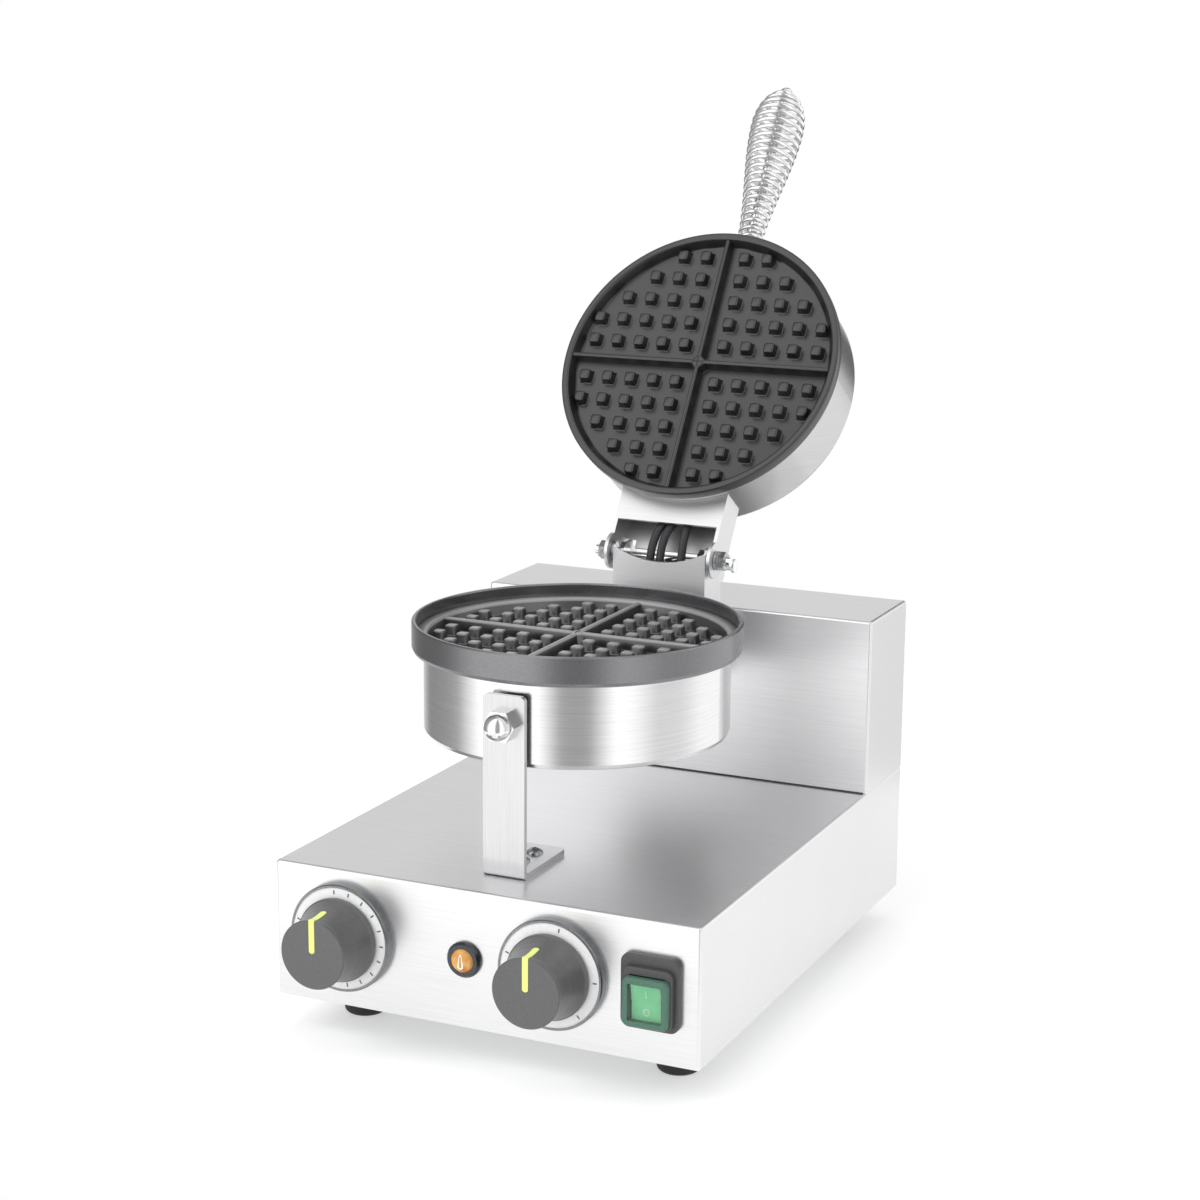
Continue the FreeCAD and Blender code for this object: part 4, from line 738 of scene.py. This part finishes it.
def loop(shape, width, height, line):
    """A flat upright loop with round ends, drawn with a line of the given width, facing forward."""
    made = bmesh.ops.create_circle(shape, cap_ends=False, segments=32, radius=width / 2 * MM)["verts"]
    for vert in made:
        vert.co.y += (height - width) / 2 * MM * (1 if vert.co.y > 1e-9 else -1)
    edges = list({edge for vert in made for edge in vert.link_edges})
    grown = bmesh.ops.extrude_edge_only(shape, edges=edges)["geom"]
    inner = only(bmesh.types.BMVert, grown)
    bmesh.ops.scale(shape, verts=inner, vec=((width - 2 * line) / width, (height - 2 * line) / height, 1))
    every = made + inner
    bmesh.ops.rotate(shape, verts=every, cent=(0, 0, 0), matrix=Matrix.Rotation(math.radians(90), 3, "X"))
    return every


LAMP_SIDE = -9.5
LAMP_HEIGHT = 38.8
LENS_CROWN = 5.6
LENS_FALL = 0.017        # the crown drops by this times the square of the distance from its middle, in mm
SYMBOL_WIDTH = 3.4
SYMBOL_HEIGHT = 8.2
SYMBOL_LINE = 0.75
SYMBOL_LIFT = 0.06
SYMBOL_FOOT = 1.15       # width at the foot, as a share
SYMBOL_TAPER = 0.75      # and how much of it is lost by the top


def lamp_symbol():
    """A small thermometer shape printed on the crown of the lens: a loop that is wide at its foot."""
    shape = bmesh.new()
    verts = loop(shape, SYMBOL_WIDTH, SYMBOL_HEIGHT, SYMBOL_LINE)
    for vert in verts:
        share = (vert.co.z / MM + SYMBOL_HEIGHT / 2) / SYMBOL_HEIGHT
        vert.co.x *= SYMBOL_FOOT - SYMBOL_TAPER * share
    bmesh.ops.recalc_face_normals(shape, faces=shape.faces)
    for vert in verts:
        out = Vector((vert.co.x, vert.co.z)).length / MM
        vert.co += at(LAMP_SIDE, -(LENS_CROWN + SYMBOL_LIFT - LENS_FALL * out * out), LAMP_HEIGHT)
    finished(shape, "lamp_symbol", mark_white, "base", smooth=False)


lamp_symbol()


# Rocker switch

SWITCH_SIDE = 99.6
SWITCH_LEVEL = CONTROL_HEIGHT - 4.4
FRAME_WIDTH = 33.0
FRAME_HEIGHT = 40.5
FRAME_FRONT = -4.0
FRAME_LIFT = 3.6         # the frame and its step stand higher than the cover
STEP_WIDTH = 28.0
STEP_HEIGHT = 32.5
STEP_FRONT = -7.2
STEP_BACK = -3.0
STEP_LIFT = 1.8
STEP_WALL = 3.2
STEP_WELL = 6.4
COVER_WIDTH = 25.8
COVER_HEIGHT = 26.8
COVER_FRONT = -10.8
COVER_RIM = 2.0
COVER_WELL = 3.5
WINDOW_FRONT = -10.2
WINDOW_BACK = -9.4
WINDOW_LAP = 2.4 * COVER_RIM
ROCKER_AXIS = -3.0
ROCKER_LEAN = math.radians(6)
ROCKER_SLOPE = math.atan2(1, 10)     # of each half of the rocker's face
SIGN_PLACE = 5.0         # the two signs' middles, above and below the rocker's middle
SIGN_BAR_FACE = -4.56
SIGN_BAR_WIDTH = 0.9
SIGN_BAR_HEIGHT = 4.2
SIGN_RING_FACE = -4.62
SIGN_RING_WIDTH = 3.6
SIGN_RING_HEIGHT = 4.4
SIGN_RING_LINE = 0.8


def plate_block(shape, width, height, front, back, corner, edge, up=0.0):
    """A block with rounded corners and an eased front edge, round the switch's centre.

    up lifts it from that centre. It gives its front and back faces."""
    made = bmesh.ops.create_cube(shape, size=1.0)["verts"]
    bmesh.ops.scale(shape, verts=made, vec=(width, back - front, height))
    upright = [e for e in {e for v in made for e in v.link_edges}
               if abs(e.verts[0].co.y - e.verts[1].co.y) > 0.5 * (back - front)]
    grown = bmesh.ops.bevel(shape, geom=upright, offset=corner, affect="EDGES", segments=8, profile=0.5,
                            material=-1)
    verts = list({v for v in made if v.is_valid} | set(grown["verts"]))
    faces = {f for v in verts for f in v.link_faces}
    front_face = min(faces, key=lambda f: f.calc_center_median().y)
    grown = bmesh.ops.bevel(shape, geom=list(front_face.edges), offset=edge, affect="EDGES", segments=4,
                            profile=0.5, material=-1)
    verts = list({v for v in verts if v.is_valid} | set(grown["verts"]))
    bmesh.ops.translate(shape, verts=verts, vec=(0, (front + back) / 2, up))
    faces = {f for v in verts for f in v.link_faces}
    front_face = min(faces, key=lambda f: (f.calc_center_median().y, -f.calc_area()))
    back_face = max(faces, key=lambda f: (f.calc_center_median().y, f.calc_area()))
    return front_face, back_face


def hollow(shape, face, wall, depth):
    """A pocket sunk into a face, leaving a wall round it; gives the pocket's floor."""
    way = -face.normal.copy()
    bmesh.ops.inset_individual(shape, faces=[face], thickness=wall)
    grown = bmesh.ops.extrude_face_region(shape, geom=[face])["geom"]
    bmesh.ops.delete(shape, geom=[face], context="FACES")
    bmesh.ops.translate(shape, verts=only(bmesh.types.BMVert, grown), vec=way * depth)
    return only(bmesh.types.BMFace, grown)[0]


def set_on_panel(shape):
    """Moves a switch shape made in millimetres to its place on the front panel."""
    for vert in shape.verts:
        vert.co = at(SWITCH_SIDE + vert.co.x, vert.co.y, SWITCH_LEVEL + vert.co.z)
    bmesh.ops.recalc_face_normals(shape, faces=shape.faces)


def switch_surround():
    """The black frame, with a raised step and a well in it for the rocker."""
    shape = bmesh.new()
    plate_block(shape, FRAME_WIDTH, FRAME_HEIGHT, FRAME_FRONT, 0, corner=5, edge=1.0, up=FRAME_LIFT)
    front_face, _ = plate_block(shape, STEP_WIDTH, STEP_HEIGHT, STEP_FRONT, STEP_BACK, corner=4, edge=0.8,
                                up=STEP_LIFT)
    hollow(shape, front_face, STEP_WALL, STEP_WELL)
    set_on_panel(shape)
    piece = finished(shape, "switch_surround", frame_black, "base", smooth=False)
    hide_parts("switch_frame")


def switch_cover():
    """The green cover: an open rim, and a clear window set into it."""
    shape = bmesh.new()
    front_face, back_face = plate_block(shape, COVER_WIDTH, COVER_HEIGHT, COVER_FRONT, STEP_FRONT,
                                        corner=3.6, edge=1.4)
    bmesh.ops.delete(shape, geom=[back_face], context="FACES_ONLY")
    pocket_floor = hollow(shape, front_face, COVER_RIM, COVER_WELL)
    bmesh.ops.delete(shape, geom=[pocket_floor], context="FACES_ONLY")
    set_on_panel(shape)
    piece = finished(shape, "switch_cover", cover_rim, "base", smooth=False)
    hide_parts("switch_cap")
    shape = bmesh.new()
    plate_block(shape, COVER_WIDTH - WINDOW_LAP, COVER_HEIGHT - WINDOW_LAP, WINDOW_FRONT, WINDOW_BACK,
                corner=1.2, edge=0.2)
    set_on_panel(shape)
    finished(shape, "switch_window", green_cover, "base", smooth=False)


def switch_marks():
    """A bar on the upper half of the rocker and a ring on the lower half, each flat on its slope."""
    shape = bmesh.new()
    rocker = Matrix.Translation(at(SWITCH_SIDE, ROCKER_AXIS, SWITCH_LEVEL))
    rocker = rocker @ Matrix.Rotation(ROCKER_LEAN, 4, "X")
    upper = Matrix.Translation(Vector((0, SIGN_BAR_FACE, SIGN_PLACE)) * MM)
    lower = Matrix.Translation(Vector((0, SIGN_RING_FACE, -SIGN_PLACE)) * MM)
    bar(shape, SIGN_BAR_WIDTH * MM, SIGN_BAR_HEIGHT * MM, INK * MM,
        rocker @ upper @ Matrix.Rotation(ROCKER_SLOPE, 4, "X"))
    ring = loop(shape, SIGN_RING_WIDTH, SIGN_RING_HEIGHT, SIGN_RING_LINE)
    bmesh.ops.transform(shape, matrix=rocker @ lower @ Matrix.Rotation(-ROCKER_SLOPE, 4, "X"), verts=ring)
    finished(shape, "switch_marks", mark_white, "rocker", smooth=False)


switch_surround()
switch_cover()
switch_marks()


# Painted shade where the column stands on the base: a thin dark bar in place of the seam's shadow

SEAM_SHADE = 0.8
SEAM_SHADE_ENDS = 4.0          # left free at the two corners together


def column_seam_shade():
    """A thin dark bar along the foot of the column's front: painted shade for the shadow in the seam."""
    shape = bmesh.new()
    place = Matrix.Translation(at(0, COLUMN_FRONT, BASE_TOP + SEAM_SHADE / 2))
    bar(shape, (2 * HALF_WIDTH - SEAM_SHADE_ENDS) * MM, SEAM_SHADE * MM, SEAM_SHADE * MM, place)
    finished(shape, "column_seam_shade", seam_shade_grey, "base", smooth=False)


column_seam_shade()


# Floor, light and surroundings

# Brightness of the studio's walls round the object: left, front, right, back and so to the left again,
# with each place as a share of the full round
WALLS = [(0.0, 0.36), (0.045, 0.45), (0.115, 1.55), (0.235, 1.55), (0.285, 0.42), (0.345, 0.42), (0.40, 1.5),
         (0.44, 1.3), (0.49, 0.85), (0.55, 0.9), (0.61, 1.25), (0.69, 1.25), (0.72, 0.16), (0.765, 0.16),
         (0.79, 0.85), (0.86, 0.78), (0.92, 0.30), (1.0, 0.36)]
STUDIO_FLOOR = 0.45      # metres, the disc's radius
FLOOR_GLOW = 0.48
LAMPS = [("key", (-1.5, -1.4, 1.8), 1.2, 21.0),      # name, place in metres, side in metres, watts
         ("fill", (1.8, -1.0, 1.1), 1.0, 1.0),
         ("top", (0.0, 0.4, 2.2), 1.4, 9.0)]
LAMP_AIM = Vector((0, 0, 0.2))


def make_floor():
    """A white disc that glows a little, so that only the object's shadow shows on it."""
    shape = bmesh.new()
    bmesh.ops.create_circle(shape, cap_ends=True, segments=96, radius=STUDIO_FLOOR)
    mesh = bpy.data.meshes.new("floor")
    shape.to_mesh(mesh)
    shape.free()
    material, tree, shader, place = new_material("matt_white_floor")
    tone = add(tree, "ShaderNodeTexNoise", {"Scale": 3.0, "Detail": 2.0}, [("Vector", place)]).outputs["Fac"]
    tree.links.new(ramp(tree, tone, [(0.3, "#c9c9c9"), (0.7, "#cecece")]), shader.inputs["Base Color"])
    dress(shader, Roughness=0.7, Specular_IOR_Level=0.2, Emission_Color=(1, 1, 1, 1),
          Emission_Strength=FLOOR_GLOW)
    mesh.materials.append(material)
    floor = bpy.data.objects.new("floor", mesh)
    bpy.context.scene.collection.objects.link(floor)


def make_walls():
    """Light and dark walls for the steel to reflect; the camera itself sees a white backdrop."""
    world = bpy.data.worlds.new("studio")
    bpy.context.scene.world = world
    world.use_nodes = True
    tree = world.node_tree
    way = add(tree, "ShaderNodeTexCoord", {}).outputs["Generated"]
    round_about = add(tree, "ShaderNodeTexGradient", {"gradient_type": "RADIAL"}, [("Vector", way)])
    walls = add(tree, "ShaderNodeValToRGB", {}, [("Fac", round_about.outputs["Fac"])])
    elements = walls.color_ramp.elements
    while len(elements) < len(WALLS):
        elements.new(0.5)
    for element, (position, light) in zip(elements, WALLS):
        element.position = position
        element.color = (light, light, light, 1)
    seen = add(tree, "ShaderNodeLightPath", {}).outputs["Is Camera Ray"]
    backdrop = add(tree, "ShaderNodeMix", {"data_type": "RGBA", 7: (1, 1, 1, 1)},
                   [(0, seen), (6, walls.outputs["Color"])])
    tree.links.new(backdrop.outputs[2], tree.nodes["Background"].inputs["Color"])
    tree.nodes["Background"].inputs["Strength"].default_value = 1.0


def make_lamps():
    """Square soft boxes that light the object and its shadow, but don't show in the steel."""
    for name, spot, side, power in LAMPS:
        data = bpy.data.lights.new(name, "AREA")
        data.shape = "SQUARE"
        data.size = side
        data.energy = power
        lamp = bpy.data.objects.new(name, data)
        aim = LAMP_AIM - Vector(spot)
        lamp.matrix_world = Matrix.Translation(spot) @ aim.to_track_quat("-Z", "Y").to_matrix().to_4x4()
        lamp.visible_glossy = False
        bpy.context.scene.collection.objects.link(lamp)


make_floor()
make_walls()
make_lamps()
bpy.context.scene.view_settings.view_transform = "Standard"
